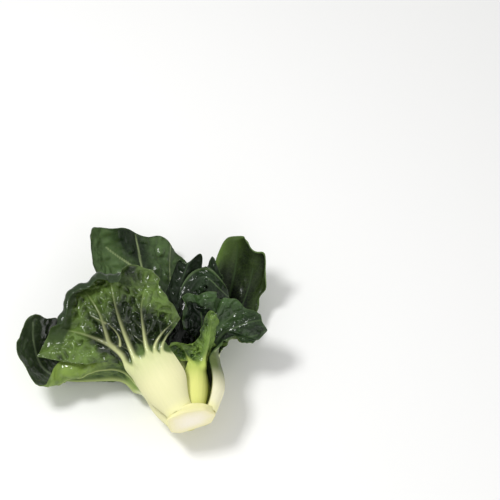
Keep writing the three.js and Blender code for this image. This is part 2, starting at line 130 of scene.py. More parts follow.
LEAVES = {
    "outer_leaf_front": {
        "phi": 131, "tilt": -7, "neck": 46, "stalk": (10, 18.2, 17), "wrap": (14, 24, 45),
        "profile": [(11.5, ROOT_Z, 0), (15.5, 12, 0.4), (22, 24, 1.2), (24, 34, 2.2)],
        "route": [(-41, 52, 57), (-50, 68, 64), (-57, 84, 68), (-62, 98, 68)],
        "outline": [
            (-80, 34), (-60, 43), (-42, 54), (-26, 61), (-10, 69), (5, 76), (20, 79), (36, 75), (50, 68),
            (63, 74),
        ],
        "cup": (-0.003, -0.004), "roll": (-0.004, -0.012), "reach": (38, 24),
        "waves": [(2.2, 6, 0.6)], "scallops": [(0.02, 7, 0.4)], "lips": [(-0.3, 0.72, 17, -5)],
        "veins": [
            (3.3, [(125, 19), (100, 14), (66, 13), (51, 18), (43, 26), (43, 34), (43, 46), (45, 60)]),
            (2.1, [(48, 20), (43, 25), (33, 28), (27, 32), (19, 39), (17, 48), (16, 60)]),
            (0.9, [(22, 33), (24, 38), (26, 45)]),
            (0.9, [(40, 17), (26, 19), (20, 25), (21, 32)]),
            (2.9, [(160, 13), (90, 5), (24, 12), (8, 22), (2, 34), (-2, 47), (-5, 60)]),
            (2.5, [(-160, 13), (-90, 5), (-44, 9), (-32, 21), (-30, 30), (-32, 43)]),
            (2.1, [(-142, 15), (-107, 8), (-78, 13), (-74, 21), (-77, 31)]),
            (1.9, [(-130, 17), (-114, 12), (-87, 17), (-82, 25)]),
        ],
        "branch_step": 12.0, "branch_length": 14.0, "fade": 0.62,
        "blister": 2.6, "blister_size": 6.4, "seed": 3,
        "bulges": [(0.72, 0.68, 0.25, 0.45), (-0.08, 0.74, 0.18, 0.5), (-0.6, 0.5, 0.2, 0.3)],
        "hollow": 3.2, "pockets": 0.85,
        "blur": 2.2, "wedge": 3.5, "dip": 7.5,
        "bands": [(-0.22, 0.85, 15)],
        "spots": [
            (-0.55, 0.6, 0.3, 0.1), (0.25, 0.7, 0.2, 0.25), (0.05, 0.4, 0.3, -0.2),
            (0.75, 0.6, 0.3, 0.35), (-0.06, 0.76, 0.14, 0.6), (-0.27, 0.88, 0.08, -0.45),
            (-0.47, 0.68, 0.12, 0.2),
        ],
        "columns": 200, "stalk_rows": 56, "blade_rows": 116,
    },
    "outer_leaf_left": {
        "phi": 209, "neck": 45, "stalk": (5.3, 10.5, 10.5),
        "profile": [(11.5, ROOT_Z, 0), (15.5, 12, 0), (21, 24, 0), (21.5, 33, 0)],
        "route": [
            (-42, 46, 15), (-61, 48, 9), (-83, 48, 5), (-102, 51, 8), (-107, 59, 26), (-107, 69, 48),
        ],
        "outline": [
            (-85, 22), (-62, 34), (-44, 48), (-31, 60), (-20, 80), (-12, 101), (-7, 112), (-1, 114),
            (6, 111), (13, 102), (22, 86), (34, 62), (58, 38), (82, 24),
        ],
        "cup": (0.012, 0.006), "roll": (0.03, 0.01), "reach": (20, 20), "flesh": 5, "twist": -88,
        "waves": [(1.8, 6, 0)], "scallops": [(0.025, 6, 0)], "notches": [(-0.6, 0.15, 0.07)],
        "lips": [(-1.15, -0.44, 21, 8)],
        "ruffles": [(1.3, 13, 1.0), (0.6, 27, 0.5)],
        "folds": [(14, 20, 90, 4, -2.0), (30, 16, 80, 4, 1.8), (46, 14, 60, 3.5, -1.6)],
        "veins": [
            (3.0, [(180, 10), (0, 3), (0, 40), (-2, 80), (-1, 110)]),
            (1.4, [(-158, 12), (-60, 8), (-30, 22), (-24, 44), (-20, 62)]),
            (1.2, [(-140, 13), (-85, 10), (-62, 20), (-50, 36)]),
            (1.4, [(158, 12), (60, 8), (30, 22), (22, 46), (20, 70)]),
            (1.2, [(140, 13), (85, 10), (62, 20), (52, 36)]),
        ],
        "branch_strength": 0.3,
        "blister": 1.5, "blister_size": 6.6, "seed": 5,
        "pockets": 0.5,
        "green_start": -6.0, "blur": 7.0,
    },
    "outer_leaf_back": {
        "phi": 265, "neck": 54, "stalk": (5, 12, 12),
        "profile": [(11.5, ROOT_Z, 0), (15.5, 12, 0), (22.3, 26, 0), (22.5, 40, 0)],
        "route": [(-21, 72, 6), (-33, 98, 9), (-45, 122, 16), (-55, 144, 31), (-57, 151, 44)],
        "outline": [
            (-72, 30), (-46, 48), (-28, 66), (-17, 86), (-11, 110), (-7, 121), (0, 115), (10, 104),
            (18, 102), (26, 96), (34, 84), (48, 56), (74, 26),
        ],
        "cup": (0.002, 0.008), "roll": (0.006, 0.012), "reach": (22, 22), "flesh": 7, "root_flesh": 0.55,
        "waves": [(1.8, 6, 0)], "scallops": [(0.015, 7, 0)],
        "ruffles": [(1.3, 12, 1.0), (0.7, 23, 0.5), (0.35, 41, 2.0)],
        "folds": [(-5, 60, 130, 7, -3.5), (13, 40, 120, 6, 1.8), (29, 40, 110, 6, -2.0)],
        "veins": [
            (2.5, [(180, 12), (0, 2), (6, 40), (7.5, 80), (8.5, 108)]),
            (2.0, [(156, 13), (66, 9), (30, 30), (24, 60), (23, 80), (23, 100)]),
            (1.3, [(7, 72), (4, 82), (-1, 92), (-4, 102)]),
            (1.5, [(-156, 13), (-50, 8), (-24, 32), (-16, 60), (-13, 84)]),
            (1.2, [(-138, 14), (-84, 10), (-50, 22), (-38, 44)]),
            (1.2, [(138, 14), (88, 11), (58, 24), (46, 46)]),
        ],
        "branch_strength": 0.25,
        "blister": 2.3, "blister_size": 8.0, "seed": 8,
        "bulges": [(0.45, 0.85, 0.3, 0.6)],
        # its lighter left lobe is painted light, the darker places below the top margin painted shade in a
        # fold, and the lighter right half a painted sheen
        "spots": [
            (-0.2, 0.9, 0.2, 1.0), (-0.12, 0.76, 0.14, 0.6), (0.06, 0.92, 0.09, -0.6),
            (0.13, 0.9, 0.07, -0.4), (0.36, 0.95, 0.12, 0.5), (0.4, 0.86, 0.18, 0.4),
            (0.2, 0.72, 0.08, -0.2), (0.62, 0.85, 0.12, 0.3),
        ],
        "columns": 168,
    },
    "outer_leaf_far": {
        "phi": 316, "neck": 54, "stalk": (4.8, 11, 11),
        "profile": [(11.5, ROOT_Z, 0), (15.5, 12, 0), (21.5, 26, 0), (22, 40, 0)],
        "route": [(11, 72, 13), (21, 98, 12.5), (30, 119, 20), (36, 134, 37), (38, 141, 53)],
        "outline": [
            (-72, 18), (-36, 34), (-18, 56), (-14, 78), (-9, 94), (-3, 98), (2, 95.5), (7, 97), (12, 87),
            (23, 54), (42, 31), (64, 15),
        ],
        "cup": (0.012, 0.012), "roll": (0.02, 0.02), "reach": (20, 20), "twist": 55, "span": (0.35, 0.75),
        "waves": [(1.8, 6, 0)], "scallops": [(0.02, 6, 1)], "lips": [(-0.1, 0.6, 8, 4.5)],
        "ruffles": [(1.9, 9, 1.0), (1.0, 21, 0.5)],
        "folds": [(-3, 30, 100, 7, -3.0), (9, 50, 100, 5, 1.6)],
        "veins": [
            (2.2, [(180, 12), (0, 2), (0, 40), (-3, 70), (-4, 88)]),
            (1.6, [(158, 12), (50, 8), (18, 30), (10, 56), (6, 76)]),
            (1.6, [(-158, 12), (-50, 8), (-20, 28), (-13, 52), (-11, 74)]),
            (1.2, [(140, 14), (80, 10), (48, 20), (36, 34)]),
            (1.2, [(-140, 14), (-80, 10), (-48, 20), (-36, 32)]),
        ],
        "branch_strength": 0.2,
        "blister": 0.6, "blister_size": 9.0, "seed": 11,
        "bands": [(-0.2, 0.3, 3)],
        "rims": [(-0.6, 0.7, 4.0, 0.22)],
        # its lighter places are painted light where its left flap and top are lit
        "spots": [
            (-0.42, 0.95, 0.13, 0.6), (-0.25, 0.95, 0.16, 0.33), (-0.1, 0.93, 0.12, 0.15),
            (0.24, 0.87, 0.1, 0.15), (0.5, 0.85, 0.12, 0.12),
        ],
    },
    "outer_leaf_right": {
        "phi": 9, "neck": 54, "stalk": (5.4, 11, 9.6),
        "profile": [(11.8, ROOT_Z, 0), (17, 12, 0), (23.2, 24, 0), (21.3, 38, 0)],
        "route": [(10.2, 60.5, 38), (14.5, 70.5, 44), (18, 78, 48), (21, 84, 50)],
        "outline": [
            (-80, 20), (-64, 32), (-46, 33), (-22, 30), (6, 31), (26, 36), (44, 41), (62, 42), (78, 30),
        ],
        "cup": (0.005, 0.03), "roll": (-0.02, 0.02), "reach": (20, 20), "twist": 88, "span": (0.42, 0.72),
        "waves": [(2, 7, 0)], "scallops": [(0.04, 6, 0)],
        "ruffles": [(1.2, 13, 1.0), (0.6, 27, 0.5)],
        "folds": [(-20, 12, 40, 4, 2.2), (20, 10, 40, 3.5, -1.8), (54, 14, 44, 4, 2.0)],
        "veins": [
            (1.9, [(180, 12), (0, 2), (4, 14), (2, 27)]),
            (1.7, [(158, 12), (60, 7), (48, 14), (46, 26), (48, 38)]),
            (1.4, [(136, 14), (88, 10), (70, 18), (64, 34)]),
            (1.1, [(-158, 12), (-54, 7), (-40, 12), (-36, 18)]),
            (0.9, [(30, 4), (26, 14), (24, 26)]),
        ],
        "branch_strength": 0.3,
        "blister": 2.3, "blister_size": 4.6, "seed": 14,
        "green_start": -29.0, "blur": 9.0, "wedge": 3.0,
        "rims": [(-1.1, 0.1, 7, 0.5), (0.1, 1.1, 3, 0.2)],
        # the two strongly darker places are painted shade in the hollow under its hood
        "spots": [
            (-0.85, 0.5, 0.4, -0.9), (-0.5, 0.35, 0.35, -0.9), (0.2, 0.35, 0.2, 0.7),
            (0.55, 0.75, 0.3, 0.15), (-0.1, 0.7, 0.15, 0.5),
        ],
    },
    "inner_leaf_lime": {
        "phi": 53, "tilt": 0, "neck": 35, "stalk": (6.5, 11, 8), "wrap": (10, 14, 10),
        "profile": [(6.5, ROOT_Z, 0), (10, 15, -1.5), (13, 26, -3), (14, 38, -6)],
        "route": [(9.5, 50, 45.5), (11.5, 58, 51), (13, 66, 57)],
        "outline": [
            (-50, 9), (-22, 19), (-8, 33), (1, 38), (8, 34), (13, 25), (22, 17.5), (42, 13.5), (60, 20),
            (74, 26), (90, 26), (104, 21),
        ],
        "cup": (0.05, 0.12), "roll": (-0.05, 0.12), "reach": (8, 8), "flesh": 4,
        "waves": [(1.2, 7, 0)],
        "ruffles": [(1.0, 15, 1.0), (0.6, 31, 0.5)],
        "veins": [
            (2.4, [(-170, 8), (-60, 2), (-4, 10), (0, 20), (0, 32)]),
            (0.8, [(120, 6), (85, 8), (70, 13), (62, 20)]),
            (0.7, [(110, 8), (94, 14), (84, 22)]),
            (0.7, [(-120, 5), (-50, 5), (-20, 11), (-14, 20)]),
        ],
        "branch_strength": 0.25, "fade": 0.6,
        "blister": 2.2, "blister_size": 3.4, "seed": 17,
        "green_start": 3.5, "blur": 4.5, "wedge": 5.0, "dip": -4.0,
        "rims": [(0.2, 1.1, 1.6, 0.7)],
        "spots": [
            (0.75, 0.6, 0.3, -0.4), (0.0, 1.0, 0.25, -0.5), (-0.3, 0.9, 0.25, -0.3),
            (0.45, 0.35, 0.3, -0.4),
        ],
        "columns": 110, "blade_rows": 70,
    },
    "heart_leaf_arched": {
        **HEART_LEAF,
        "phi": 110,
        "profile": [(3, ROOT_Z, 0), (5, 20, 0), (7, 36, 0)],
        "route": [
            (-9, 62, 31), (-8, 80, 37), (-3, 96, 45), (5, 103, 51), (11, 99, 52), (17, 94, 48),
            (24, 93, 38),
        ],
        "outline": [
            (-60, 10), (-16, 36), (-9, 62), (-5, 82), (0, 90), (3, 82), (5, 62), (11, 36), (60, 10),
        ],
        "cup": (0.04, 0.04), "roll": (0.05, 0.05),
        "waves": [(1.4, 6, 0)],
        "ruffles": [(1.3, 13, 2.0), (0.8, 29, 0.5)],
        "folds": [(-6, 40, 90, 2.2, -1.4), (7, 34, 90, 2.2, -1.4), (0, 34, 90, 1.6, 0.9)],
        "veins": [
            (1.3, [(0, 1), (0, 40), (0, 72), (0, 88)]),
            (0.8, [(7, 34), (4.5, 62), (3, 80)]),
        ],
        "vein_from": (0.6, 0.8),
        "seed": 20,
    },
    "heart_leaf_left": {
        **HEART_LEAF,
        "phi": 205,
        "profile": [(4, ROOT_Z, 0), (7, 20, 0), (8, 36, 0)],
        "route": [(-20, 60, 23), (-19, 84, 24), (-9, 108, 33), (-2, 125, 46)],
        "outline": [
            (-60, 10), (-12, 36), (-7, 60), (-5, 76), (2, 84), (9, 79), (13, 64), (19, 38), (60, 12),
        ],
        "cup": (0.03, 0.03), "roll": (0.03, 0.03), "twist": -35, "span": (0.3, 0.6),
        "waves": [(1.8, 6, 0)], "scallops": [(0.05, 5, 0)],
        "ruffles": [(1.5, 15, 1.0), (0.8, 27, 0.5)],
        "veins": [
            (1.1, [(0, 1), (0, 40), (0, 80)]),
        ],
        "vein_from": (0.7, 0.9),
        "seed": 23,
    },
    "heart_leaf_right": {
        **HEART_LEAF,
        "phi": 335,
        "profile": [(4, ROOT_Z, 0), (7, 20, 0), (8, 36, 0)],
        "route": [(-3, 60, 19), (4, 84, 22), (11, 109, 32), (14, 125, 43)],
        "outline": [
            (-60, 12), (-19, 36), (-11, 60), (-8, 72), (0, 76), (8, 72), (11, 60), (19, 36), (60, 12),
        ],
        "cup": (0.03, 0.03), "roll": (0.03, 0.03), "twist": 35, "span": (0.3, 0.6),
        "waves": [(1.8, 6, 2)], "scallops": [(0.05, 5, 1)],
        "ruffles": [(1.5, 15, 1.0), (0.8, 27, 0.5)],
        "veins": [
            (1.1, [(0, 1), (0, 40), (0, 80)]),
        ],
        "vein_from": (0.7, 0.9),
        "seed": 26,
    },
}


# ---------- small maths ----------
def smooth(a, b, t):
    """A soft step from 0 at a to 1 at b."""
    k = np.clip((np.asarray(t, float) - a) / (b - a), 0, 1)
    return k * k * (3 - 2 * k)


def stretch(start, stop, soft, u):
    """1 from start to stop and 0 elsewhere, with soft ends."""
    return smooth(start - soft, start + soft, u) * (1 - smooth(stop - soft, stop + soft, u))


def mix(a, b, t):
    """a where t is 0 and b where it is 1."""
    return a + (b - a) * t


def unit(v):
    """The same directions with a length of 1."""
    return v / np.maximum(np.linalg.norm(v, axis=-1, keepdims=True), 1e-9)


def run_length(x, y):
    """Distance along a line of points, from its first one."""
    return np.concatenate([[0], np.cumsum(np.hypot(np.diff(x), np.diff(y)))])


def spline(points, per):
    """Clamped uniform cubic B-spline through a few given points."""
    p = np.array(points, float)
    q = np.vstack([2 * p[0] - p[1], p, 2 * p[-1] - p[-2]])
    t = (np.arange(per) / per)[:, None]
    out = []
    for i in range(len(p) - 1):
        w = [(1 - t) ** 3, 3 * t**3 - 6 * t**2 + 4, -3 * t**3 + 3 * t**2 + 3 * t + 1, t**3]
        out.append(sum(w[j] * q[i + j] for j in range(4)) / 6)
    out.append(p[-1:])
    return np.vstack(out)


def polar_spline(polar, neck, per):
    """The same through points given as angle from the midrib and distance from the neck."""
    points = [(r * math.sin(math.radians(deg)), neck + r * math.cos(math.radians(deg))) for deg, r in polar]
    return spline(points, per)


def head(x, y, z):
    """A point given as right, up and along the head's axis."""
    c, s = math.cos(HEAD_TURN), math.sin(HEAD_TURN)
    return np.stack([x * c - z * s, x * s + z * c, HEAD_HEIGHT + y], -1)


def along(row, s):
    """Value on a row of numbers or points, s running from 0 to 1."""
    row = np.asarray(row, float)
    at = np.linspace(0, 1, len(row))
    if row.ndim == 1:
        return np.interp(s, at, row)
    return np.stack([np.interp(s, at, row[:, k]) for k in range(row.shape[1])], -1)


def walk(arcs):
    """Walks over arcs of given length and curvature from the midrib outward."""
    x = z = turn = 0.0
    for length, curve in arcs:
        k = np.where(np.abs(curve) < 1e-6, 1e-6, curve)
        dx, dz = np.sin(k * length) / k, (1 - np.cos(k * length)) / k
        x = x + np.cos(turn) * dx - np.sin(turn) * dz
        z = z + np.sin(turn) * dx + np.cos(turn) * dz
        turn = turn + k * length
    return x, z


def grid_normal(p):
    """Unit normals of a grid of points, rows along the leaf and columns across it."""
    return unit(np.cross(np.gradient(p, axis=1), np.gradient(p, axis=0)))


def scattered(cx, cy, across, up, seed):
    """A fixed number for every cell of a grid, of which only the fraction matters."""
    return np.sin(cx * across + cy * up + seed) * 43758.5453


def fraction(a):
    return a - np.floor(a)


CELL_JITTER = 0.9  # how far a cell's middle strays, as a share of the grid
CELL_BORDER = 0.75  # how wide its border is
CELL_FULLNESS = (0.5, 1.2)


def cells(x, y, size, seed):
    """Rounded cells scattered over the plane: 0 on their borders, about 1 in the middles of full ones."""
    gx, gy = x / size, y / size
    ix, iy = np.floor(gx), np.floor(gy)
    near = np.full(x.shape, 9.0)
    second = np.full(x.shape, 9.0)
    full = np.ones(x.shape)
    for dx in (-2, -1, 0, 1, 2):
        for dy in (-2, -1, 0, 1, 2):
            cx, cy = ix + dx, iy + dy
            a = scattered(cx, cy, 127.1, 311.7, seed)
            b = scattered(cx, cy, 269.5, 183.3, seed * 2)
            px = cx + 0.5 + CELL_JITTER * (fraction(a) - 0.5)
            py = cy + 0.5 + CELL_JITTER * (fraction(b) - 0.5)
            d = np.hypot(gx - px, gy - py)
            full = np.where(d < near, mix(*CELL_FULLNESS, fraction(a * 13)), full)
            second = np.where(d < near, near, np.minimum(second, d))
            near = np.minimum(near, d)
    return full * smooth(0.0, CELL_BORDER, second - near)


# ---------- the leaf surface ----------
STATIONS = 160  # steps of the frame along a midrib
MIDRIB_STEPS, RIM_STEPS, VEIN_STEPS = 24, 12, 10  # spline steps between two points
BLADE_FROM = 0.8  # share of the stalk at which its section starts to turn into the blade's
BLADE_TO = 0.35  # share of the blade at which it has done so
WAVE_CENTRE = 0.3  # waves run round this share of the blade
WAVES_IN = 0.35  # how far in from the rim they reach
SLOPE_STEP = 0.5
LIP_SOFT = 0.12

VEIN_TAPER = (0.78, 0.9)  # share of its width that a vein loses, and how early
VEIN_LEAST = 0.55
VEIN_REACH = 8.0  # how far to the side a vein's field is worked out
VEIN_CORE = 0.6  # share of its half width that the tissue keeps clear of
PALE_WIDTH = (0.85, 0.12)  # its pale mask: a share of its half width, and a bit more
BRANCH_FROM = 0.6  # thinner veins have no branches
BRANCH_STEPS = 8
BRANCH_ANGLE = (46, 60)
BRANCH_BOW = 0.55
BRANCH_WIDTH = (0.38, 0.38)  # share of its vein's foot, and the least
BRANCH_CLEAR = 3  # no branch starts this near the neck
BRANCH_LAST = 0.93  # or past this share of its vein

RIB_HEIGHT = 1.364  # how far a rib stands out of the outer face, for a strength of 1
RIB_GROOVE = 0.16  # how deep it lies in the inner face
FOOT_SWELL = 0.3
STRING_HEIGHT = 0.02
STRING_SPACING = 2.3
RIM_FROM = 0.985  # the very rim starts here, on a scale that ends at 1
RIM_THINNING = 0.45
FINE_FRILL_COUNT = 16  # frills of this many waves or more stay nearer the rim
FINE_FRILL_IN = 0.7
FRILL_RISE = (0.15, 0.6)  # a frill comes in between these shares of the way up the blade

SMALL_BLISTER = 0.45  # size of the small blisters, as a share of the large ones
SMALL_SHARE = 0.22  # and of their height
VEIN_QUIET = 2.6  # the tissue is calm this close to a vein
BAND_QUIET = 0.85  # how much calmer a turned rim is
BAND_SOFT = 1.3
RIM_QUIET = 0.45  # how much lower the blisters get towards the rim
SINK_REACH = (0.3, 5.0)  # distances from a rib between which the tissue sinks
RIB_SHADE_REACH = (0.6, 5.5)  # distances from a rib over which the painted shade along it fades out
WEDGE_REACH = 2.2  # this far from a rib the green reaches lowest


class Midrib:
    """A midrib with a frame carried along it: t forward, n out of the inner face, a to its right."""

    def __init__(self, points, facing, twist, span):
        line = spline(points, MIDRIB_STEPS)
        s = np.concatenate([[0], np.cumsum(np.linalg.norm(np.diff(line, axis=0), axis=1))])
        self.length = s[-1]
        at = np.linspace(0, self.length, STATIONS)
        self.m = np.stack([np.interp(at, s, line[:, k]) for k in range(3)], 1)
        ahead = np.vstack([self.m[1:], self.m[-1:]])
        behind = np.vstack([self.m[:1], self.m[:-1]])
        self.t = unit(ahead - behind)
        v = np.array(facing, float)
        n = np.zeros_like(self.t)
        for i in range(STATIONS):
            v = unit(v - self.t[i] * (v @ self.t[i]))
            n[i] = v
        turn = (np.radians(twist) * smooth(span[0], span[1], np.linspace(0, 1, STATIONS)))[:, None]
        self.n = n * np.cos(turn) + np.cross(self.t, n) * np.sin(turn)
        self.a = np.cross(self.t, self.n)

    def at(self, y):
        """The midrib's point and the two directions across it, carried straight on past its ends."""
        s = y / self.length
        m = along(self.m, s)
        m = m + np.minimum(y, 0)[..., None] * self.t[0]
        m = m + np.maximum(y - self.length, 0)[..., None] * self.t[-1]
        return m, along(self.n, s), along(self.a, s)


class Leaf:
    """The inner face of a leaf as a function of u across and v along, with all that grows on it."""

    def __init__(self, spec):
        self.__dict__.update(DEFAULTS)
        self.__dict__.update(spec)
        phi = math.radians(self.phi)
        c, s = math.cos(phi), math.sin(phi)
        stalk = [head(r * c - drift * s, r * s + drift * c, z) for r, z, drift in self.profile]
        lean = math.radians(self.phi + self.tilt)
        c, s = math.cos(lean), math.sin(lean)
        facing = (-c * math.cos(HEAD_TURN), -c * math.sin(HEAD_TURN), -s)
        self.rib = Midrib(stalk + [np.array(p, float) for p in self.route], facing, self.twist, self.span)
        self.blade = self.rib.length - self.neck
        self.rim = polar_spline(self.outline, 0, RIM_STEPS)

    # --- its flat shape ---
    def half(self, y):
        """Half the stalk's width."""
        w0, w1, w2 = self.stalk
        mid = self.neck * 0.5
        lower = mix(w0, w1, smooth(0, mid, y))
        return np.where(y < mid, lower, mix(w1, w2, smooth(mid, self.neck, y)))

    def edge(self, u):
        """The blade's rim, from the neck."""
        x, y = np.moveaxis(along(self.rim, (u + 1) / 2), -1, 0)
        k = np.ones_like(u)
        for depth, count, phase in self.scallops:
            k = k + depth * np.sin(count * math.pi * u + phase) * (1 - u**6)
        for at, depth, width in self.notches:
            k = k - depth * np.exp(-(((u - at) / width) ** 2))
        return x * k, y * k

    def spoke(self, u):
        """The straight run from the neck to the rim."""
        x, y = self.edge(u)
        return x - u * self.stalk[2], y

    def flat(self, u, v):
        """v runs from 0 to 1 along the stalk and from 1 to 2 from the neck to the rim of the blade."""
        y = np.minimum(v, 1) * self.neck
        x = u * self.half(y)
        t = np.maximum(v - 1, 0)
        rx, ry = self.edge(u)
        on = v > 1
        return np.where(on, mix(u * self.stalk[2], rx, t), x), np.where(on, self.neck + ry * t, y), t

    def bearing(self, x, y):
        """The angle round the blade, for waves that run along its rim."""
        return np.arctan2(x, y - self.neck - WAVE_CENTRE * self.blade)

    # --- its form in space ---
    def base(self, x, y):
        """The plain surface: the midrib swept across in arcs."""
        m, n, a = self.rib.at(y)
        right = x >= 0
        cup = np.where(right, self.cup[0], self.cup[1])
        roll = np.where(right, self.roll[0], self.roll[1])
        reach = np.where(right, self.reach[0], self.reach[1])
        wide = np.abs(x)
        wrap = 1 / along(self.wrap, y / self.neck)
        core = mix(wrap, cup, smooth(self.neck * BLADE_FROM, self.neck + self.blade * BLADE_TO, y))
        inner = self.half(np.minimum(y, self.neck))
        first = np.minimum(wide, inner)
        then = np.clip(wide - inner, 0, np.maximum(reach - inner, 0))
        last = np.maximum(wide - np.maximum(reach, inner), 0)
        px, pz = walk([(first, core), (then, cup), (last, roll)])
        return m + a * (np.sign(x) * px)[..., None] + n * pz[..., None]

    def normal(self, x, y):
        """Its unit normals, out of the inner face."""
        h = SLOPE_STEP
        across = self.base(x + h, y) - self.base(x - h, y)
        forward = self.base(x, y + h) - self.base(x, y - h)
        return unit(np.cross(across, forward))

    def face(self, u, v):
        """The inner face with its waves and turned lips, its flat place, and how near the rim it is."""
        x, y, t = self.flat(u, v)
        fx, fy = x.copy(), y.copy()
        lift = np.zeros_like(x)
        q = 1 - (1 - t) * (1 - np.abs(u) ** 3)
        theta = self.bearing(x, y)
        for height, count, phase in self.waves:
            near_rim = smooth(WAVES_IN, 1, q) * smooth(0, 0.4, t) * (t > 0)
            lift += height * np.sin(count * theta + phase) * near_rim
        sx, sy = self.spoke(u)
        run = np.hypot(sx, sy)
        for start, stop, width, radius in self.lips:
            over = np.maximum(0, run * (t - 1) + width) * stretch(start, stop, LIP_SOFT, u) * (t > 0)
            turn = over / abs(radius)
            back = over - abs(radius) * np.sin(turn)
            x = x - back * sx / run
            y = y - back * sy / run
            lift += radius * (1 - np.cos(turn))
        return self.base(x, y) + self.normal(x, y) * lift[..., None], fx, fy, t, q

    # --- its veins ---
    def branch(self, x, y, far, begin, side, foot, rng):
        """A small vein that leaves a main one and bows towards its tip."""
        k = begin / far[-1]
        i = min(int(np.searchsorted(far, begin)), len(x) - 2)
        ax, ay = unit(np.array([x[i + 1] - x[i], y[i + 1] - y[i]]))
        length = self.branch_length * rng.uniform(0.7, 1.2) * (1.1 - 0.6 * k)
        a = np.linspace(0, 1, BRANCH_STEPS + 1)
        turn = side * math.radians(rng.uniform(*BRANCH_ANGLE)) * (1 - BRANCH_BOW * a)
        step = length / BRANCH_STEPS
        bx = x[i] + np.concatenate([[0], np.cumsum(step * (ax * np.cos(turn) - ay * np.sin(turn))[1:])])
        by = y[i] + np.concatenate([[0], np.cumsum(step * (ax * np.sin(turn) + ay * np.cos(turn))[1:])])
        width = max(foot * BRANCH_WIDTH[0] * (1 - 0.6 * k), BRANCH_WIDTH[1])
        return bx, by, width * (1 - 0.65 * a), self.branch_strength * (1 - 0.6 * a)

    def vein_runs(self):
        """Every vein as points, half widths and strengths."""
        rng = np.random.default_rng(self.seed)
        runs = []
        for foot, polar in self.veins:
            x, y = polar_spline(polar, self.neck, VEIN_STEPS).T
            far = run_length(x, y)
            s = far / far[-1]
            size = np.maximum(foot * (1 - VEIN_TAPER[0] * s ** VEIN_TAPER[1]), min(foot, VEIN_LEAST))
            runs.append((x, y, size, 1 - self.fade * s))
            begin = self.branch_step * rng.uniform(0.7, 1.3)
            side = 1
            while begin < far[-1] * BRANCH_LAST and foot > BRANCH_FROM:
                branch = self.branch(x, y, far, begin, side, foot, rng)
                if branch[1][0] >= self.neck + BRANCH_CLEAR:
                    runs.append(branch)
                side = -side
                begin += self.branch_step * rng.uniform(0.35, 0.65)
        return runs

    def vein_field(self, x, y):
        """Height of the veins, their pale mask and the distance to the nearest one."""
        ridge = np.zeros(x.shape)
        mask = np.zeros(x.shape)
        gap = np.full(x.shape, VEIN_REACH)
        for vx, vy, size, strong in self.vein_runs():
            for i in range(len(vx) - 1):
                ax, ay, bx, by = vx[i], vy[i], vx[i + 1], vy[i + 1]
                near = (x > min(ax, bx) - VEIN_REACH) & (x < max(ax, bx) + VEIN_REACH)
                near &= (y > min(ay, by) - VEIN_REACH) & (y < max(ay, by) + VEIN_REACH)
                if not near.any():
                    continue
                px, py = x[near], y[near]
                dx, dy = bx - ax, by - ay
                k = np.clip(((px - ax) * dx + (py - ay) * dy) / max(dx * dx + dy * dy, 1e-9), 0, 1)
                d = np.hypot(px - ax - k * dx, py - ay - k * dy)
                w = mix(size[i], size[i + 1], k)
                pale_width = w * PALE_WIDTH[0] + PALE_WIDTH[1]
                pale = mix(strong[i], strong[i + 1], k) * np.exp(-((d / pale_width) ** 2))
                ridge[near] = np.maximum(ridge[near], w * np.exp(-((d / w) ** 2)))
                mask[near] = np.maximum(mask[near], pale)
                gap[near] = np.minimum(gap[near], np.maximum(d - VEIN_CORE * w, 0))
        return ridge, mask, gap

    # --- its relief ---
    def frill(self, x, y, t, q):
        """Short waves of the rim that die away inwards."""
        lift = np.zeros_like(x)
        theta = self.bearing(x, y)
        for height, count, phase in self.ruffles:
            reach_in = WAVES_IN if count < FINE_FRILL_COUNT else FINE_FRILL_IN
            near_rim = smooth(reach_in, 1, q) * smooth(*FRILL_RISE, t)
            lift += height * np.sin(count * theta + phase) * near_rim
        return lift

    def turned_rim(self, u, t, inward):
        """Where the rim is smooth and turned, up to an uneven line."""
        band = np.zeros_like(u)
        for start, stop, width in self.bands:
            uneven = width * (1 + 0.22 * np.sin(9 * u + self.seed) + 0.12 * np.sin(23 * u))
            part = stretch(start, stop, 0.08, u) * (t > 0)
            band = np.maximum(band, part * (1 - smooth(uneven - BAND_SOFT, uneven + BAND_SOFT, inward)))
        return band

    def blisters(self, x, y, u, t, gap, band):
        """How far the tissue is blown up between the veins: large blisters with small ones on them."""
        drift = 1.3 * np.sin(x * 0.21 + self.seed) + 0.9 * np.sin(y * 0.33)
        large = cells(x + drift, y + 1.1 * np.sin(x * 0.29), self.blister_size, self.seed)
        small = cells(x * 1.02 + 5, y + drift, self.blister_size * SMALL_BLISTER, self.seed + 4)
        puff = mix(large, small, SMALL_SHARE) * smooth(0, VEIN_QUIET, gap)
        puff = puff * open_blade(t) * (1 - BAND_QUIET * band)
        for su, st, size, amount in self.bulges:
            puff = puff * (1 + amount * np.exp(-((np.hypot(u - su, t - st) / size) ** 2)))
        return puff

    def sinking(self, t, gap):
        """How far the tissue sinks between the ribs in the lower blade."""
        lower = smooth(0.0, 0.16, t) * (1 - smooth(0.3, 0.85, t))
        return self.hollow * smooth(*SINK_REACH, gap) * lower

    def creases(self, x, y):
        """Long soft folds that run out from the neck."""
        lift = np.zeros_like(x)
        for deg, start, stop, width, height in self.folds:
            c, d = math.cos(math.radians(deg)), math.sin(math.radians(deg))
            away = x * c - (y - self.neck) * d
            out = x * d + (y - self.neck) * c
            lift += height * stretch(start, stop, 6, out) * np.exp(-((away / width) ** 2))
        return lift

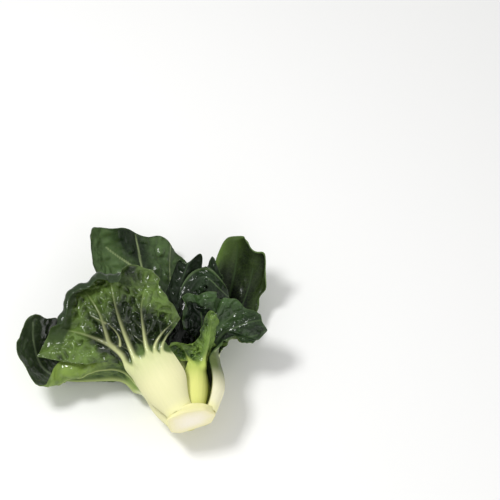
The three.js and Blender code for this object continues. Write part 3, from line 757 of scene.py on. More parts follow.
    def thickness(self, x, y, u, t, q, ridge, blade_thickness):
        """Fleshy in the middle of the stalk and thin at its edges, with faint strings and ribs."""
        wide = self.half(np.minimum(y, self.neck))
        meat = 1 - smooth(self.neck * 0.72, self.neck + 0.22 * self.blade, y)
        root = mix(self.root_flesh, 1, smooth(0, self.neck * 0.35, y))
        c = np.clip(np.abs(x) / wide, 0, 1)
        body = self.flesh * root * (1 - c**2) * meat
        wander = 1.7 * np.sin(y * 0.07 + 3 * u)
        strings = STRING_HEIGHT * np.cos(2 * math.pi * u * wide / STRING_SPACING + wander)
        strings = strings * meat * smooth(0, 9, y)
        thin = blade_thickness * METRE * (1 - RIM_THINNING * smooth(RIM_FROM, 1, q) * (t > 0))
        swell = FOOT_SWELL * (1 - smooth(3, 12, y)) * (1 - c**4)
        ribs = RIB_HEIGHT * ridge * smooth(self.neck * 0.8, self.neck, y)
        return thin + body + swell + strings + ribs

    # --- its colours ---
    def paleness(self, v, u, t, gap):
        """The pale stalk: 1 up to the line where the green starts, which runs lower between the ribs."""
        past = np.where(v > 1, t * np.hypot(*self.spoke(u)), (v - 1) * self.neck)
        green_from = self.green_start - self.wedge * np.minimum(gap, WEDGE_REACH) / WEDGE_REACH
        green_from = green_from - self.dip * smooth(0.0, 0.8, -u)
        return 1 - smooth(-self.blur, self.blur, past - green_from)

    def tint(self, u, t, gap, inward):
        """Painted light and shade of the blade, partly its own tone: shade along the ribs and near the
        foot, highlights along the rim, and lit, shaded and lighter or darker places.
        """
        # painted shade along the ribs in the lower blade
        rib_shade_mask = (1 - smooth(*RIB_SHADE_REACH, gap)) * (1 - smooth(0.25, 0.75, t))
        tint = -self.pockets * rib_shade_mask * open_blade(t)
        # painted shade near the foot of the blade
        tint -= self.shade * (1 - smooth(0.2, 0.75, t)) * (t > 0)
        # painted highlights along the rim, partly its own lighter tone
        for start, stop, width, amount in self.rims:
            part = stretch(start, stop, 0.1, u) * (t > 0)
            tint += amount * part * (1 - smooth(width * 0.4, width, inward))
        # lighter and darker places: painted light and shade, partly the leaf's own tone
        for su, st, size, amount in self.spots:
            tint += amount * np.exp(-((np.hypot(u - su, t - st) / size) ** 2)) * (t > 0)
        return tint


def open_blade(t):
    """1 on the blade and 0 on the stalk."""
    return smooth(-0.02, 0.12, t) * (t > 0)


def trim(p, low):
    """Keeps points above a height and in front of the plane where the stalks sink into the stump."""
    axis = np.array([-math.sin(HEAD_TURN), math.cos(HEAD_TURN), 0.0])
    short = np.maximum(SUNK_ROOT_Z - p @ axis, 0)
    q = p + short[..., None] * axis
    q[..., 2] = np.maximum(q[..., 2], low)
    return q


# ---------- making meshes ----------
def cell_sheet(columns, rows):
    """A flat closed sheet of cells with two faces; each vertex is marked with its cell and its face."""
    bm = bmesh.new()
    bmesh.ops.create_grid(bm, x_segments=columns, y_segments=rows, size=1.0)
    xs = sorted({round(v.co.x, 6) for v in bm.verts})
    ys = sorted({round(v.co.y, 6) for v in bm.verts})
    col = {x: i for i, x in enumerate(xs)}
    row = {y: i for i, y in enumerate(ys)}
    cell = bm.verts.layers.int.new("cell")
    inner = bm.verts.layers.int.new("inner")
    for v in bm.verts:
        v[cell] = row[round(v.co.y, 6)] * len(xs) + col[round(v.co.x, 6)]
    under = list(bm.faces)
    grown = bmesh.ops.extrude_face_region(bm, geom=under, use_keep_orig=True)
    for item in grown["geom"]:
        if isinstance(item, bmesh.types.BMVert):
            item[inner] = 1
    bmesh.ops.reverse_faces(bm, faces=under)
    return bm, len(ys), len(xs)


def finish_piece(bm, name):
    """Turns a bmesh into a smooth object."""
    mesh = bpy.data.meshes.new(name)
    bm.to_mesh(mesh)
    bm.free()
    mesh.shade_smooth()
    piece = bpy.data.objects.new(name, mesh)
    bpy.context.scene.collection.objects.link(piece)
    return piece


def settle(piece, node):
    """Ties a finished piece to the head's root body and hides the node that it stands for."""
    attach(piece, "root")
    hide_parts(node)


def take_layer(mesh, name):
    """The whole numbers of a layer, which is then removed."""
    values = np.empty(len(mesh.vertices), np.int32)
    mesh.attributes[name].data.foreach_get("value", values)
    mesh.attributes.remove(mesh.attributes[name])
    return values


def write_layer(mesh, name, values):
    """One number for every vertex, for a material to read."""
    layer = mesh.attributes.new(name, "FLOAT", "POINT")
    layer.data.foreach_set("value", np.ascontiguousarray(values, np.float32))


CROWD = 0.35  # how much closer the rows stand towards the rim
LOWEST_INNER = 0.35  # height that the inner face keeps above the surface
FACES_APART = 40.0  # how far apart the two faces lie in the materials' patterns
PLACE_SCALE = 10  # millimetres for a unit of those patterns


def sheet_rows(leaf, count):
    """v of every row of cells."""
    k = np.linspace(0, 1, count - leaf.stalk_rows)
    return np.concatenate([np.arange(leaf.stalk_rows) / leaf.stalk_rows, 1 + k * (1 + CROWD * (1 - k))])


def build_leaf(name, props):
    """Lays a sheet of cells over both faces of a leaf, and writes the layers that its material reads."""
    leaf = Leaf(LEAVES[name])
    bm, rows, columns = cell_sheet(leaf.columns, leaf.stalk_rows + leaf.blade_rows)
    u = np.broadcast_to(np.linspace(-1, 1, columns), (rows, columns)).copy()
    v = np.broadcast_to(sheet_rows(leaf, rows)[:, None], (rows, columns)).copy()
    p, x, y, t, q = leaf.face(u, v)
    n = grid_normal(p)
    ridge, mask, gap = leaf.vein_field(x, y)
    shown = smooth(*leaf.vein_from, t)
    ridge, mask = ridge * shown, mask * shown
    inward = (1 - t) * np.hypot(*leaf.spoke(u))
    band = leaf.turned_rim(u, t, inward)
    puff = leaf.blisters(x, y, u, t, gap, band)

    # veins stand out of the outer face; the tissue between them is blistered towards the inner one
    lift = props.frill * leaf.frill(x, y, t, q) + leaf.sinking(t, gap) + leaf.creases(x, y)
    lift += props.blister * leaf.blister * puff * (1 - RIM_QUIET * smooth(0.8, 1, q))
    thick = leaf.thickness(x, y, u, t, q, ridge, props.blade_thickness)
    groove = -RIB_GROOVE * ridge * open_blade(t)
    front = trim(p + n * (lift + groove)[..., None], LOWEST_INNER)
    back = trim(p + n * (lift - thick)[..., None], 0.0)
    points = np.stack([back.reshape(-1, 3), front.reshape(-1, 3)])

    piece = finish_piece(bm, name + "_fine")
    mesh = piece.data
    cell, side = take_layer(mesh, "cell"), take_layer(mesh, "inner")
    co = (points[side, cell] + TO_PART) / METRE
    mesh.vertices.foreach_set("co", co.astype(np.float32).ravel())
    layers = {
        "stalk": leaf.paleness(v, u, t, gap),
        "vein": mask,
        "puff": puff,
        "edge": np.maximum(smooth(RIM_FROM, 1, t), smooth(RIM_FROM, 1, np.abs(u))),
        # painted light and shade, partly the leaf's own tone
        "tint": leaf.tint(u, t, gap, inward),
        "rise": v / 2,
        "band": band,
    }
    for key, values in layers.items():
        write_layer(mesh, key, values.ravel()[cell])
    write_layer(mesh, "side", side)
    place = mesh.attributes.new("place", "FLOAT_VECTOR", "POINT")
    flat = np.stack([x.ravel()[cell], y.ravel()[cell], side * FACES_APART], -1) / PLACE_SCALE
    place.data.foreach_set("vector", flat.astype(np.float32).ravel())
    mesh.update()
    settle(piece, name)
    return piece


# ---------- the stump ----------
# corners of the cut as right and up
CUT_FACE = [(16.5, 2), (9.5, 12), (-6, 13.8), (-16.4, 9.5), (-14.6, -8), (-8, -12), (13, -7.5)]
STUMP_TOP_RADIUS = 16.2
STUMP_SIDES = 168
# distance from the cut, how far the corners are rounded off, and size
STUMP_SIDE = [
    (0.0, 0.0, 0.93), (0.1, 0.01, 0.965), (0.35, 0.03, 0.99), (0.8, 0.12, 1.0), (1.4, 0.3, 1.002),
    (2.0, 0.48, 1.004), (2.7, 0.68, 1.006), (3.4, 0.85, 1.004), (4.0, 0.94, 0.995), (4.5, 0.98, 0.978),
    (4.9, 1.0, 0.955), (5.1, 1.0, 0.92),
]
STUMP_TOP_RINGS = (0.7, 0.4, 0.1)  # sizes
# size and depth of the rings of the cut, which dries into a shallow dish
CUT_RINGS = [(0.9, 0.06), (0.82, 0.14), (0.7, 0.2), (0.52, 0.24), (0.34, 0.26), (0.16, 0.26)]


def stump_bumps(ang, z, roundness):
    """Uneven flesh, more of it towards the top, with scars where older stalks broke off."""
    lumps = 0.35 * np.sin(ang * 5 + 1.3 * z) + 0.25 * np.sin(ang * 11 - 2 * z) + 0.15 * np.sin(ang * 23 + z)
    scars = 0.5 * np.sin(ang * 19 + 2.2 * z) * np.sin(ang * 7 + 1.7 * z) + 0.3 * np.sin(ang * 37 - 3 * z)
    return 1 + (0.014 + 0.022 * roundness) * lumps + 0.016 * scars * smooth(0.5, 2.5, z)


def build_stump():
    """The stub that all stalks grow from, many-cornered at the flat cut and round at its top."""
    bm = bmesh.new()
    order = bm.verts.layers.int.new("order")
    inside = bm.verts.layers.float.new("inside")
    bmesh.ops.create_circle(bm, cap_ends=False, segments=STUMP_SIDES, radius=1.0)
    start = sorted(bm.verts, key=lambda v: math.atan2(v.co.y, v.co.x) % (2 * math.pi))
    for i, v in enumerate(start):
        v[order] = i
    corners = np.array(CUT_FACE, float)
    t = np.arange(STUMP_SIDES) * len(corners) / STUMP_SIDES
    k = np.floor(t).astype(int)
    cut = mix(corners[k], corners[(k + 1) % len(corners)], smooth(-0.25, 1.25, t - k)[:, None])
    r = np.hypot(cut[:, 0], cut[:, 1])
    ang = np.arctan2(cut[:, 1], cut[:, 0])

    def lay(ring, z, roundness, size, dish=0.0):
        """Puts the vertices of a ring in their places."""
        grow = size * mix(r, STUMP_TOP_RADIUS, roundness) / r * stump_bumps(ang, z, roundness)
        fibre = dish + 0.1 * np.sin(ang * 5 + size * 9) * (1 - size)
        points = head(cut[:, 0] * grow, cut[:, 1] * grow, z + fibre)
        for v in ring:
            v.co = Vector((points[v[order]] + TO_PART) / METRE)
            v[inside] = (1 - size) if z == 0 else -z

    def next_ring(ring):
        """Extrudes a ring's edges and gives back the new ring."""
        members = set(ring)
        edges = {e for v in ring for e in v.link_edges if members.issuperset(e.verts)}
        made = bmesh.ops.extrude_edge_only(bm, edges=list(edges))["geom"]
        return [item for item in made if isinstance(item, bmesh.types.BMVert)]

    def close(ring, z):
        """Draws a ring together on the axis."""
        bmesh.ops.pointmerge(bm, verts=ring, merge_co=Vector((head(0, 0, z) + TO_PART) / METRE))

    # from the rim of the cut over its edge and up to the middle of the top
    lay(start, *STUMP_SIDE[0])
    ring = start
    for place in STUMP_SIDE[1:]:
        ring = next_ring(ring)
        lay(ring, *place)
    top = STUMP_SIDE[-1][0]
    for size in STUMP_TOP_RINGS:
        ring = next_ring(ring)
        lay(ring, top, 1.0, size)
    close(ring, top)
    # from the same rim to the middle of the cut
    ring = start
    for size, dish in CUT_RINGS:
        ring = next_ring(ring)
        lay(ring, 0.0, 0.0, size, dish)
    close(ring, CUT_RINGS[-1][1])
    bmesh.ops.recalc_face_normals(bm, faces=bm.faces[:])
    piece = finish_piece(bm, "stump_fine")
    piece.data.attributes.remove(piece.data.attributes["order"])
    settle(piece, "stump")
    return piece


# ---------- materials ----------
def srgb(r, g, b):
    """A colour typed as 0 to 255 in the usual screen scale, made linear and given its alpha."""
    out = []
    for c in (r / 255, g / 255, b / 255):
        out.append(c / 12.92 if c <= 0.04045 else ((c + 0.055) / 1.055) ** 2.4)
    return (*out, 1.0)


class Nodes:
    """Places nodes and links them by name."""

    def __init__(self, tree):
        self.tree = tree

    def add(self, kind, **values):
        """A new node, with values for its settings and its sockets."""
        node = self.tree.nodes.new(kind)
        for key, value in values.items():
            if hasattr(node, key) and key not in node.inputs:
                setattr(node, key, value)
            else:
                self.put(node.inputs[key], value)
        return node

    def put(self, socket, value):
        """Links a socket to another one, or sets it."""
        if isinstance(value, bpy.types.NodeSocket):
            self.tree.links.new(value, socket)
        else:
            socket.default_value = value

    def attribute(self, name):
        return self.add("ShaderNodeAttribute", attribute_name=name)

    def math(self, kind, a, b=0.0, c=0.0, clamp=False):
        node = self.tree.nodes.new("ShaderNodeMath")
        node.operation = kind
        node.use_clamp = clamp
        for socket, value in zip(node.inputs, (a, b, c)):
            self.put(socket, value)
        return node.outputs[0]

    def range(self, value, a, b, c=0.0, d=1.0):
        """A soft step of a value, from c where it is a to d where it is b."""
        node = self.tree.nodes.new("ShaderNodeMapRange")
        node.interpolation_type = "SMOOTHSTEP"
        for socket, v in zip(node.inputs, (value, a, b, c, d)):
            self.put(socket, v)
        return node.outputs[0]

    def blend(self, factor, a, b):
        """Colour a where the factor is 0 and b where it is 1."""
        node = self.tree.nodes.new("ShaderNodeMix")
        node.data_type = "RGBA"
        self.put(node.inputs["Factor"], factor)
        self.put(node.inputs["A"], a)
        self.put(node.inputs["B"], b)
        return node.outputs["Result"]

    def noise(self, where, scale, detail, rough=0.55):
        node = self.tree.nodes.new("ShaderNodeTexNoise")
        self.put(node.inputs["Vector"], where)
        self.put(node.inputs["Scale"], scale)
        self.put(node.inputs["Detail"], detail)
        self.put(node.inputs["Roughness"], rough)
        return node.outputs["Fac"]


TISSUE_COLOURS = ("Dark", "Light", "Vein", "Stalk", "Stalk top", "Rim", "Band", "Foot")
TISSUE_VALUES = ("Net", "Vein strength", "Blister shading", "Ground tone", "Mottle", "Vein fade")
# scales of the patterns, for each 10 mm of leaf
BROAD_SCALE = 0.35
FINE_SCALE = 2.6
GRAIN_SCALE = 9.0
NET_SCALE = 5.0
NET_THREAD = 0.09
STRING_SCALE = (6.0, 0.35, 1.0)  # strings are narrow and long


def tissue_group():
    """Leaf tissue: blistered green between pale veins, with a fine net of small veins."""
    group = bpy.data.node_groups.new("Leaf tissue", "ShaderNodeTree")
    face = group.interface
    for name in TISSUE_COLOURS:
        face.new_socket(name=name, in_out="INPUT", socket_type="NodeSocketColor")
    for name in TISSUE_VALUES:
        face.new_socket(name=name, in_out="INPUT", socket_type="NodeSocketFloat")
    face.new_socket(name="Color", in_out="OUTPUT", socket_type="NodeSocketColor")
    for name in ("Roughness", "Height"):
        face.new_socket(name=name, in_out="OUTPUT", socket_type="NodeSocketFloat")
    n = Nodes(group)
    given = n.add("NodeGroupInput").outputs
    place = n.attribute("place").outputs["Vector"]
    stalk = n.attribute("stalk").outputs["Fac"]
    vein = n.attribute("vein").outputs["Fac"]
    puff = n.attribute("puff").outputs["Fac"]
    edge = n.attribute("edge").outputs["Fac"]
    tint = n.attribute("tint").outputs["Fac"]
    rise = n.attribute("rise").outputs["Fac"]
    band = n.attribute("band").outputs["Fac"]

    broad = n.noise(place, BROAD_SCALE, 2.0)
    fine = n.noise(place, FINE_SCALE, 5.0, 0.62)
    # green of the tissue: darker in each blister's pit on the outer face and lighter on its top on the
    # inner face, painted shade and light that follow the relief; it is also mottled broadly
    shade = n.math("ADD", n.math("MULTIPLY", puff, given["Blister shading"]), given["Ground tone"])
    specks = n.math("MULTIPLY_ADD", fine, 0.5, -0.25)
    mottle = n.math("ADD", n.range(broad, 0.36, 0.64, -0.16, 0.16), specks)
    shade = n.math("MULTIPLY_ADD", mottle, given["Mottle"], shade)
    # painted light and shade of the blade's places, partly its own tone
    shade = n.math("ADD", shade, tint, clamp=True)
    green = n.blend(shade, given["Dark"], given["Light"])
    # a net of threads, then the veins, which may fade towards the rim, and the rim itself
    net = n.add("ShaderNodeTexVoronoi", feature="DISTANCE_TO_EDGE", Vector=place, Scale=NET_SCALE)
    thread = n.range(net.outputs["Distance"], 0.0, NET_THREAD, 1.0, 0.0)
    thread = n.math("MULTIPLY", thread, given["Net"])
    green = n.blend(thread, green, given["Light"])
    ribs = n.math("MULTIPLY", n.range(vein, 0.12, 0.85), given["Vein strength"], clamp=True)
    spent = n.math("MULTIPLY", n.range(rise, 0.5, 0.74), given["Vein fade"])
    ribs = n.math("MULTIPLY", ribs, n.math("SUBTRACT", 1.0, spent))
    green = n.blend(ribs, green, given["Vein"])
    green = n.blend(n.math("MULTIPLY", band, 0.85), green, given["Band"])
    green = n.blend(n.math("MULTIPLY", edge, 0.8), green, given["Rim"])
    # the stalk: pale, with faint strings and a greener top
    spread = n.add("ShaderNodeMapping", Vector=place)
    spread.inputs["Scale"].default_value = STRING_SCALE
    string = n.noise(spread.outputs["Vector"], 1.0, 4.0, 0.6)
    streaks = n.math("MULTIPLY", n.math("SUBTRACT", string, 0.5), 0.7)
    top = n.math("ADD", n.range(rise, 0.22, 0.52), streaks, clamp=True)
    pale = n.blend(top, given["Stalk"], given["Stalk top"])
    pale = n.blend(n.range(rise, 0.015, 0.085, 0.75, 0.0), pale, given["Foot"])
    color = n.blend(stalk, green, pale)
    # the stalk is a little duller; everything is finely uneven
    rough = n.range(fine, 0.3, 0.7, 0.42, 0.58)
    rough = n.math("ADD", rough, n.math("MULTIPLY", stalk, 0.06))
    height = n.math("ADD", n.math("MULTIPLY", fine, 0.55), n.math("MULTIPLY", thread, 0.5))
    height = n.math("ADD", height, n.math("MULTIPLY", n.math("MULTIPLY", string, stalk), 0.35))
    grain = n.math("MULTIPLY", n.noise(place, GRAIN_SCALE, 2.0), n.math("SUBTRACT", 1.0, stalk))
    height = n.math("MULTIPLY_ADD", grain, 0.5, height)
    out = n.add("NodeGroupOutput")
    n.put(out.inputs["Color"], color)
    n.put(out.inputs["Roughness"], rough)
    n.put(out.inputs["Height"], height)
    return group


LEAF_BUMP = (0.35, 0.0006)  # strength and height of the fine relief
LEAF_GLOW_RADIUS = (1.0, 0.95, 0.6)  # how far red, green and blue travel, as shares of the depth
LEAF_GLOW_DEPTH = 0.0015
WET_ROUGHNESS = 0.1


def leaf_material(name, looks):
    """Leaf tissue in one leaf's colours, which may differ between its outer and its inner face."""
    material = bpy.data.materials.new(name)
    material.use_nodes = True
    n = Nodes(material.node_tree)
    shader = material.node_tree.nodes["Principled BSDF"]
    side = n.attribute("side").outputs["Fac"]
    group = bpy.data.node_groups.get("Leaf tissue") or tissue_group()
    tissue = n.add("ShaderNodeGroup", node_tree=group)
    for key in TISSUE_COLOURS:
        outer, inner = looks[key] if isinstance(looks[key][0], tuple) else (looks[key], looks[key])
        n.put(tissue.inputs[key], n.blend(side, srgb(*outer), srgb(*inner)))
    for key in TISSUE_VALUES:
        value = looks[key]
        if isinstance(value, tuple):
            outer, inner = value
            value = n.math("MULTIPLY_ADD", side, inner - outer, outer)
        n.put(tissue.inputs[key], value)
    n.put(shader.inputs["Base Color"], tissue.outputs["Color"])
    n.put(shader.inputs["Roughness"], tissue.outputs["Roughness"])
    bump = n.add("ShaderNodeBump", Height=tissue.outputs["Height"])
    bump.inputs["Strength"].default_value = LEAF_BUMP[0]
    bump.inputs["Distance"].default_value = LEAF_BUMP[1]
    n.put(shader.inputs["Normal"], bump.outputs["Normal"])
    shader.inputs["Subsurface Weight"].default_value = looks["Glow"]
    shader.inputs["Subsurface Radius"].default_value = LEAF_GLOW_RADIUS
    shader.inputs["Subsurface Scale"].default_value = LEAF_GLOW_DEPTH
    shader.inputs["Specular IOR Level"].default_value = looks["Sheen"]
    # the green is wet; the stalk isn't, and a turned rim is less so
    wet = n.math("SUBTRACT", 1.0, n.attribute("stalk").outputs["Fac"])
    rim_share = n.math("MULTIPLY_ADD", n.attribute("band").outputs["Fac"], -0.6, 1.0)
    wet = n.math("MULTIPLY", wet, rim_share)
    n.put(shader.inputs["Coat Weight"], n.math("MULTIPLY", wet, looks["Wet"]))
    shader.inputs["Coat Roughness"].default_value = WET_ROUGHNESS
    return material


# Colours are 0 to 255. Pairs are for the outer and the inner face.
BASE_LOOKS = {
    "Foot": (240, 237, 176),
    "Band": (60, 80, 44),
    "Ground tone": (0.72, 0.3),
    # painted shade in the blisters' pits on the outer face and painted light on their tops on the inner
    # face
    "Blister shading": (-0.6, 0.2),
    "Net": 0.1,
    "Vein strength": 0.9,
    "Vein fade": 0.0,
    "Mottle": 1.0,
    "Glow": 0.06,
    "Wet": 0.35,
    "Sheen": 0.22,
}
CREAM = (230, 227, 178)
MILK = (240, 236, 202)
RIB = (206, 212, 150)
LOOKS = {
    "outer_leaf_front": {
        "Dark": ((22, 34, 12), (24, 36, 18)),
        "Light": ((99, 124, 57), (56, 76, 40)),
        "Ground tone": (0.6, 0.3),
        "Blister shading": (-0.4, 0.2),
        "Vein": (RIB, (150, 165, 110)),
        "Stalk": CREAM,
        "Stalk top": (206, 212, 156),
        "Rim": ((92, 112, 62), (60, 78, 48)),
        "Band": ((50, 66, 38), (40, 54, 31)),
        "Wet": 0.6,
        "Sheen": 0.1,
        "Vein fade": 0.68,
        "Mottle": 1.5,
    },
    "outer_leaf_left": {
        "Dark": ((54, 78, 28), (38, 50, 30)),
        "Light": ((138, 164, 74), (70, 88, 56)),
        "Vein": ((170, 184, 112), (124, 140, 104)),
        "Stalk": CREAM,
        "Stalk top": (228, 232, 190),
        "Rim": ((118, 142, 72), (66, 84, 50)),
        "Wet": 0.5,
        "Sheen": 0.12,
    },
    "outer_leaf_back": {
        "Dark": ((56, 80, 36), (25, 40, 19)),
        "Light": ((100, 126, 62), (82, 106, 62)),
        "Vein": ((190, 198, 140), (158, 174, 122)),
        "Stalk": CREAM,
        "Stalk top": (228, 232, 190),
        "Rim": (52, 70, 38),
        "Ground tone": (0.72, 0.25),
        "Wet": 0.3,
        "Sheen": 0.12,
    },
    "outer_leaf_far": {
        # its inner face's very dark green and low ground tone are partly the upper face's own darker green
        # and partly painted shade inside the cup; the olive inner stalk is painted shade
        "Dark": ((64, 90, 36), (15, 23, 13)),
        "Light": ((112, 138, 66), (104, 132, 62)),
        "Vein": ((180, 190, 130), (56, 74, 42)),
        "Stalk": (CREAM, (176, 182, 104)),
        "Stalk top": ((228, 232, 190), (104, 118, 60)),
        "Rim": (84, 108, 58),
        "Band": (92, 114, 66),
        "Ground tone": (0.72, 0.03),
        "Blister shading": (-0.6, 0.03),
        "Wet": 0.08,
        "Mottle": 0.3,
        "Sheen": 0.12,
    },
    "outer_leaf_right": {
        # its inner face's very dark green is partly the upper face's own darker green and partly painted
        # shade in the hollow under the hood; the olive inner stalk is painted shade, and the greener outer
        # stalk top is partly painted shade
        "Dark": ((30, 44, 22), (13, 24, 13)),
        "Light": ((96, 110, 58), (66, 92, 50)),
        "Vein": ((140, 156, 100), (66, 86, 50)),
        "Stalk": (MILK, (176, 182, 104)),
        "Stalk top": ((176, 184, 124), (104, 118, 60)),
        "Rim": (76, 98, 56),
        "Ground tone": (0.8, 0.26),
        "Wet": 0.4,
        "Blister shading": (-0.5, 0.38),
        "Mottle": 1.4,
        "Sheen": 0.1,
    },
    "inner_leaf_lime": {
        "Dark": ((42, 66, 20), (36, 58, 20)),
        "Light": ((120, 150, 64), (92, 122, 48)),
        "Vein": ((178, 196, 108), (150, 172, 94)),
        "Stalk": (226, 228, 134),
        "Stalk top": (184, 202, 100),
        "Rim": (118, 144, 70),
        "Foot": (238, 236, 150),
        "Vein fade": 0.8,
        "Mottle": 1.6,
        "Vein strength": 0.6,
    },
}
# The heart's greens are very dark: painted shade deep inside the head.
HEART_IN_SHADE = {
    "Dark": ((12, 20, 9), (11, 18, 9)),
    "Light": ((37, 56, 30), (36, 54, 30)),
    "Vein": ((96, 114, 76), (60, 80, 50)),
    "Stalk": (220, 226, 150),
    "Stalk top": (150, 168, 96),
    "Rim": (58, 76, 42),
    "Wet": 0.22,
    "Sheen": 0.1,
}
ARCHED = {
    "Vein": ((88, 108, 70), (96, 112, 78)),
    "Wet": 0.4,
}


def paint_leaf(piece, name):
    """Gives a leaf its own looks, or those of the heart, whose very dark greens are painted shade."""
    looks = BASE_LOOKS | LOOKS.get(name, HEART_IN_SHADE)
    if name == "heart_leaf_arched":
        looks |= ARCHED
    piece.data.materials.append(leaf_material(piece.name, looks))


STUMP_BUMP = (0.25, 0.0004)  # strength and height of the cut's relief
STUMP_GLOW = 0.15
STUMP_GLOW_RADIUS = (1.0, 0.9, 0.6)
STUMP_GLOW_DEPTH = 0.002


def stump_material():
    """Pale cut flesh: whitish in the middle of the cut, yellower round its edge and on the sides."""
    material = bpy.data.materials.new("stump")
    material.use_nodes = True
    n = Nodes(material.node_tree)
    shader = material.node_tree.nodes["Principled BSDF"]
    where = n.add("ShaderNodeTexCoord").outputs["Object"]
    inside = n.attribute("inside").outputs["Fac"]
    broad = n.noise(where, 90.0, 2.0)
    fine = n.noise(where, 650.0, 5.0, 0.65)
    uneven = n.math("ADD", inside, n.math("MULTIPLY", n.math("SUBTRACT", broad, 0.5), 0.5))
    color = n.blend(n.range(uneven, -0.25, 0.9), srgb(240, 233, 178), srgb(253, 245, 226))
    joint = n.range(uneven, -0.3, -2.2)
    color = n.blend(n.math("MULTIPLY", joint, 0.8), color, srgb(236, 232, 166))
    color = n.blend(n.range(fine, 0.5, 0.8, 0.0, 0.3), color, srgb(232, 220, 170))
    n.put(shader.inputs["Base Color"], color)
    n.put(shader.inputs["Roughness"], n.range(fine, 0.3, 0.7, 0.4, 0.6))
    bump = n.add("ShaderNodeBump", Height=fine)
    bump.inputs["Strength"].default_value = STUMP_BUMP[0]
    bump.inputs["Distance"].default_value = STUMP_BUMP[1]
    n.put(shader.inputs["Normal"], bump.outputs["Normal"])
    shader.inputs["Subsurface Weight"].default_value = STUMP_GLOW
    shader.inputs["Subsurface Radius"].default_value = STUMP_GLOW_RADIUS
    shader.inputs["Subsurface Scale"].default_value = STUMP_GLOW_DEPTH
    return material


# ---------- settings ----------
class BOKCHOY_PG_leaves(bpy.types.PropertyGroup):
    """Sizes shared by all leaves"""

    blade_thickness: FloatProperty(
        name="Blade thickness", description="Thickness of the blade between its veins",
        default=0.00055, min=0.0002, max=0.0008, unit="LENGTH",
    )
    blister: FloatProperty(
        name="Blisters", description="How far the tissue bulges between the veins",
        default=1.0, min=0.0, max=2.0, subtype="FACTOR",
    )
    frill: FloatProperty(
        name="Frill", description="How far the rim waves in and out of the blade",
        default=1.0, min=0.0, max=2.0, subtype="FACTOR",
    )


class BOKCHOY_PG_stage(bpy.types.PropertyGroup):
    """Floor, lights and camera"""

    floor_color: FloatVectorProperty(
        name="Floor", description="Colour of the floor", subtype="COLOR", size=3,
        default=(0.93, 0.93, 0.92), min=0.0, max=1.0,
    )
    key_power: FloatProperty(
        name="Key light", description="Power of the large soft light above",
        default=5.4, min=0.0, unit="POWER",
    )
    sky: FloatProperty(
        name="Sky", description="Strength of the light from all round", default=0.56, min=0.0,
    )
    camera_pitch: FloatProperty(
        name="Camera pitch", description="How steeply the camera looks down",
        default=math.radians(55), subtype="ANGLE",
    )
    camera_distance: FloatProperty(
        name="Camera distance", description="From the lens to the head", default=1.4, unit="LENGTH",
    )
    pixel_size: FloatProperty(
        name="Pixel size", description="Size of one picture cell at the head",
        default=0.00066, unit="LENGTH",
    )


# ---------- operators ----------
class BOKCHOY_OT_outer_leaves(bpy.types.Operator):
    """Build the five outer leaves with their fleshy stalks"""

    bl_idname = "bokchoy.outer_leaves"
    bl_label = "Outer Leaves"

    def execute(self, context):
        for name in LEAVES:
            if name.startswith("outer_leaf"):
                paint_leaf(build_leaf(name, context.scene.bokchoy_leaves), name)
        return {"FINISHED"}


class BOKCHOY_OT_inner_leaf(bpy.types.Operator):
    """Build the lime inner leaf"""

    bl_idname = "bokchoy.inner_leaf"
    bl_label = "Inner Leaf"

    def execute(self, context):
        name = "inner_leaf_lime"
        paint_leaf(build_leaf(name, context.scene.bokchoy_leaves), name)
        return {"FINISHED"}


class BOKCHOY_OT_heart_leaves(bpy.types.Operator):
    """Build the small crinkled leaves of the heart"""

    bl_idname = "bokchoy.heart_leaves"
    bl_label = "Heart Leaves"

    def execute(self, context):
        for name in LEAVES:
            if name.startswith("heart_leaf"):
                paint_leaf(build_leaf(name, context.scene.bokchoy_leaves), name)
        return {"FINISHED"}


class BOKCHOY_OT_stump(bpy.types.Operator):
    """Build the cut stump"""

    bl_idname = "bokchoy.stump"
    bl_label = "Stump"

    def execute(self, context):
        build_stump().data.materials.append(stump_material())
        return {"FINISHED"}


FLOOR_SIZE = 3.0
LIT_POINT = Vector((0.0, 0.0, 0.03))
# place, share of the key light's power and size
LIGHTS = {
    "key light": ((-0.4, 0.05, 0.9), 1.0, 0.22),
    "side light": ((0.35, -0.75, 0.55), 0.36, 0.7),
}
PICTURE_CELLS = 500  # the picture is this many cells wide and high
CUT_CELL = (192, 422)  # the cell, from the left and from the top, in which the cut's middle is seen
SENSOR_WIDTH = 36
FAR_CLIP = 20


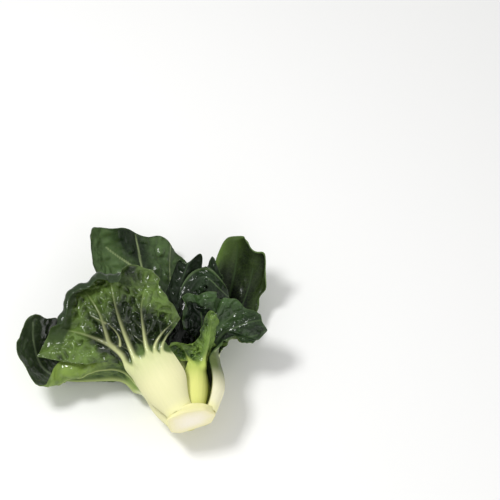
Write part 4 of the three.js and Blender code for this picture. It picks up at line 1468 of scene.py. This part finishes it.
class BOKCHOY_OT_stage(bpy.types.Operator):
    """Build the floor, the lights and the camera"""

    bl_idname = "bokchoy.stage"
    bl_label = "Stage"

    def execute(self, context):
        props = context.scene.bokchoy_stage
        scene = context.scene
        bm = bmesh.new()
        bmesh.ops.create_grid(bm, x_segments=1, y_segments=1, size=FLOOR_SIZE)
        mesh = bpy.data.meshes.new("floor")
        bm.to_mesh(mesh)
        bm.free()
        floor = bpy.data.objects.new("floor", mesh)
        scene.collection.objects.link(floor)
        material = bpy.data.materials.new("floor")
        material.use_nodes = True
        shader = material.node_tree.nodes["Principled BSDF"]
        shader.inputs["Base Color"].default_value = (*props.floor_color, 1)
        shader.inputs["Roughness"].default_value = 0.9
        mesh.materials.append(material)

        world = bpy.data.worlds.new("soft room")
        scene.world = world
        world.use_nodes = True
        sky = world.node_tree.nodes["Background"]
        sky.inputs["Color"].default_value = (1, 1, 1, 1)
        sky.inputs["Strength"].default_value = props.sky

        for name, (where, share, size) in LIGHTS.items():
            lamp = bpy.data.lights.new(name, "AREA")
            lamp.energy = props.key_power * share
            lamp.size = size
            light = bpy.data.objects.new(name, lamp)
            scene.collection.objects.link(light)
            light.location = Vector(where)
            light.rotation_euler = (LIT_POINT - light.location).to_track_quat("-Z", "Y").to_euler()

        cell = props.pixel_size
        pitch = props.camera_pitch
        ahead = Vector((0, math.cos(pitch), -math.sin(pitch)))
        up = Vector((0, math.sin(pitch), math.cos(pitch)))
        cut = Vector((TO_PART[0], TO_PART[1], HEAD_HEIGHT)) / METRE
        half = PICTURE_CELLS / 2
        right = Vector((1, 0, 0))
        centre = cut + right * ((half - CUT_CELL[0]) * cell) + up * ((CUT_CELL[1] - half) * cell)
        data = bpy.data.cameras.new("camera")
        camera = bpy.data.objects.new("camera", data)
        scene.collection.objects.link(camera)
        camera.location = centre - ahead * props.camera_distance
        camera.rotation_euler = ahead.to_track_quat("-Z", "Y").to_euler()
        data.sensor_width = SENSOR_WIDTH
        data.lens = SENSOR_WIDTH * props.camera_distance / (PICTURE_CELLS * cell)
        data.clip_end = FAR_CLIP
        scene.camera = camera
        scene.view_settings.view_transform = "Standard"
        return {"FINISHED"}


class BOKCHOY_PT_panel(bpy.types.Panel):
    """Everything that builds the head"""

    bl_label = "Bok Choy"
    bl_idname = "BOKCHOY_PT_panel"
    bl_space_type = "VIEW_3D"
    bl_region_type = "UI"
    bl_category = "Bok Choy"

    def draw(self, context):
        layout = self.layout
        leaves = context.scene.bokchoy_leaves
        stage = context.scene.bokchoy_stage
        for name in ("blade_thickness", "blister", "frill"):
            layout.prop(leaves, name)
        for name in ("stump", "outer_leaves", "inner_leaf", "heart_leaves"):
            layout.operator("bokchoy." + name)
        for name in ("floor_color", "key_power", "sky", "camera_pitch", "camera_distance", "pixel_size"):
            layout.prop(stage, name)
        layout.operator("bokchoy.stage")


CLASSES = (
    BOKCHOY_PG_leaves,
    BOKCHOY_PG_stage,
    BOKCHOY_OT_outer_leaves,
    BOKCHOY_OT_inner_leaf,
    BOKCHOY_OT_heart_leaves,
    BOKCHOY_OT_stump,
    BOKCHOY_OT_stage,
    BOKCHOY_PT_panel,
)


def register():
    for cls in CLASSES:
        bpy.utils.register_class(cls)
    bpy.types.Scene.bokchoy_leaves = PointerProperty(type=BOKCHOY_PG_leaves)
    bpy.types.Scene.bokchoy_stage = PointerProperty(type=BOKCHOY_PG_stage)


def unregister():
    del bpy.types.Scene.bokchoy_stage
    del bpy.types.Scene.bokchoy_leaves
    for cls in reversed(CLASSES):
        bpy.utils.unregister_class(cls)


def main():
    register()
    bpy.ops.bokchoy.stump()
    bpy.ops.bokchoy.outer_leaves()
    bpy.ops.bokchoy.inner_leaf()
    bpy.ops.bokchoy.heart_leaves()
    bpy.ops.bokchoy.stage()


if __name__ == "__main__":
    main()
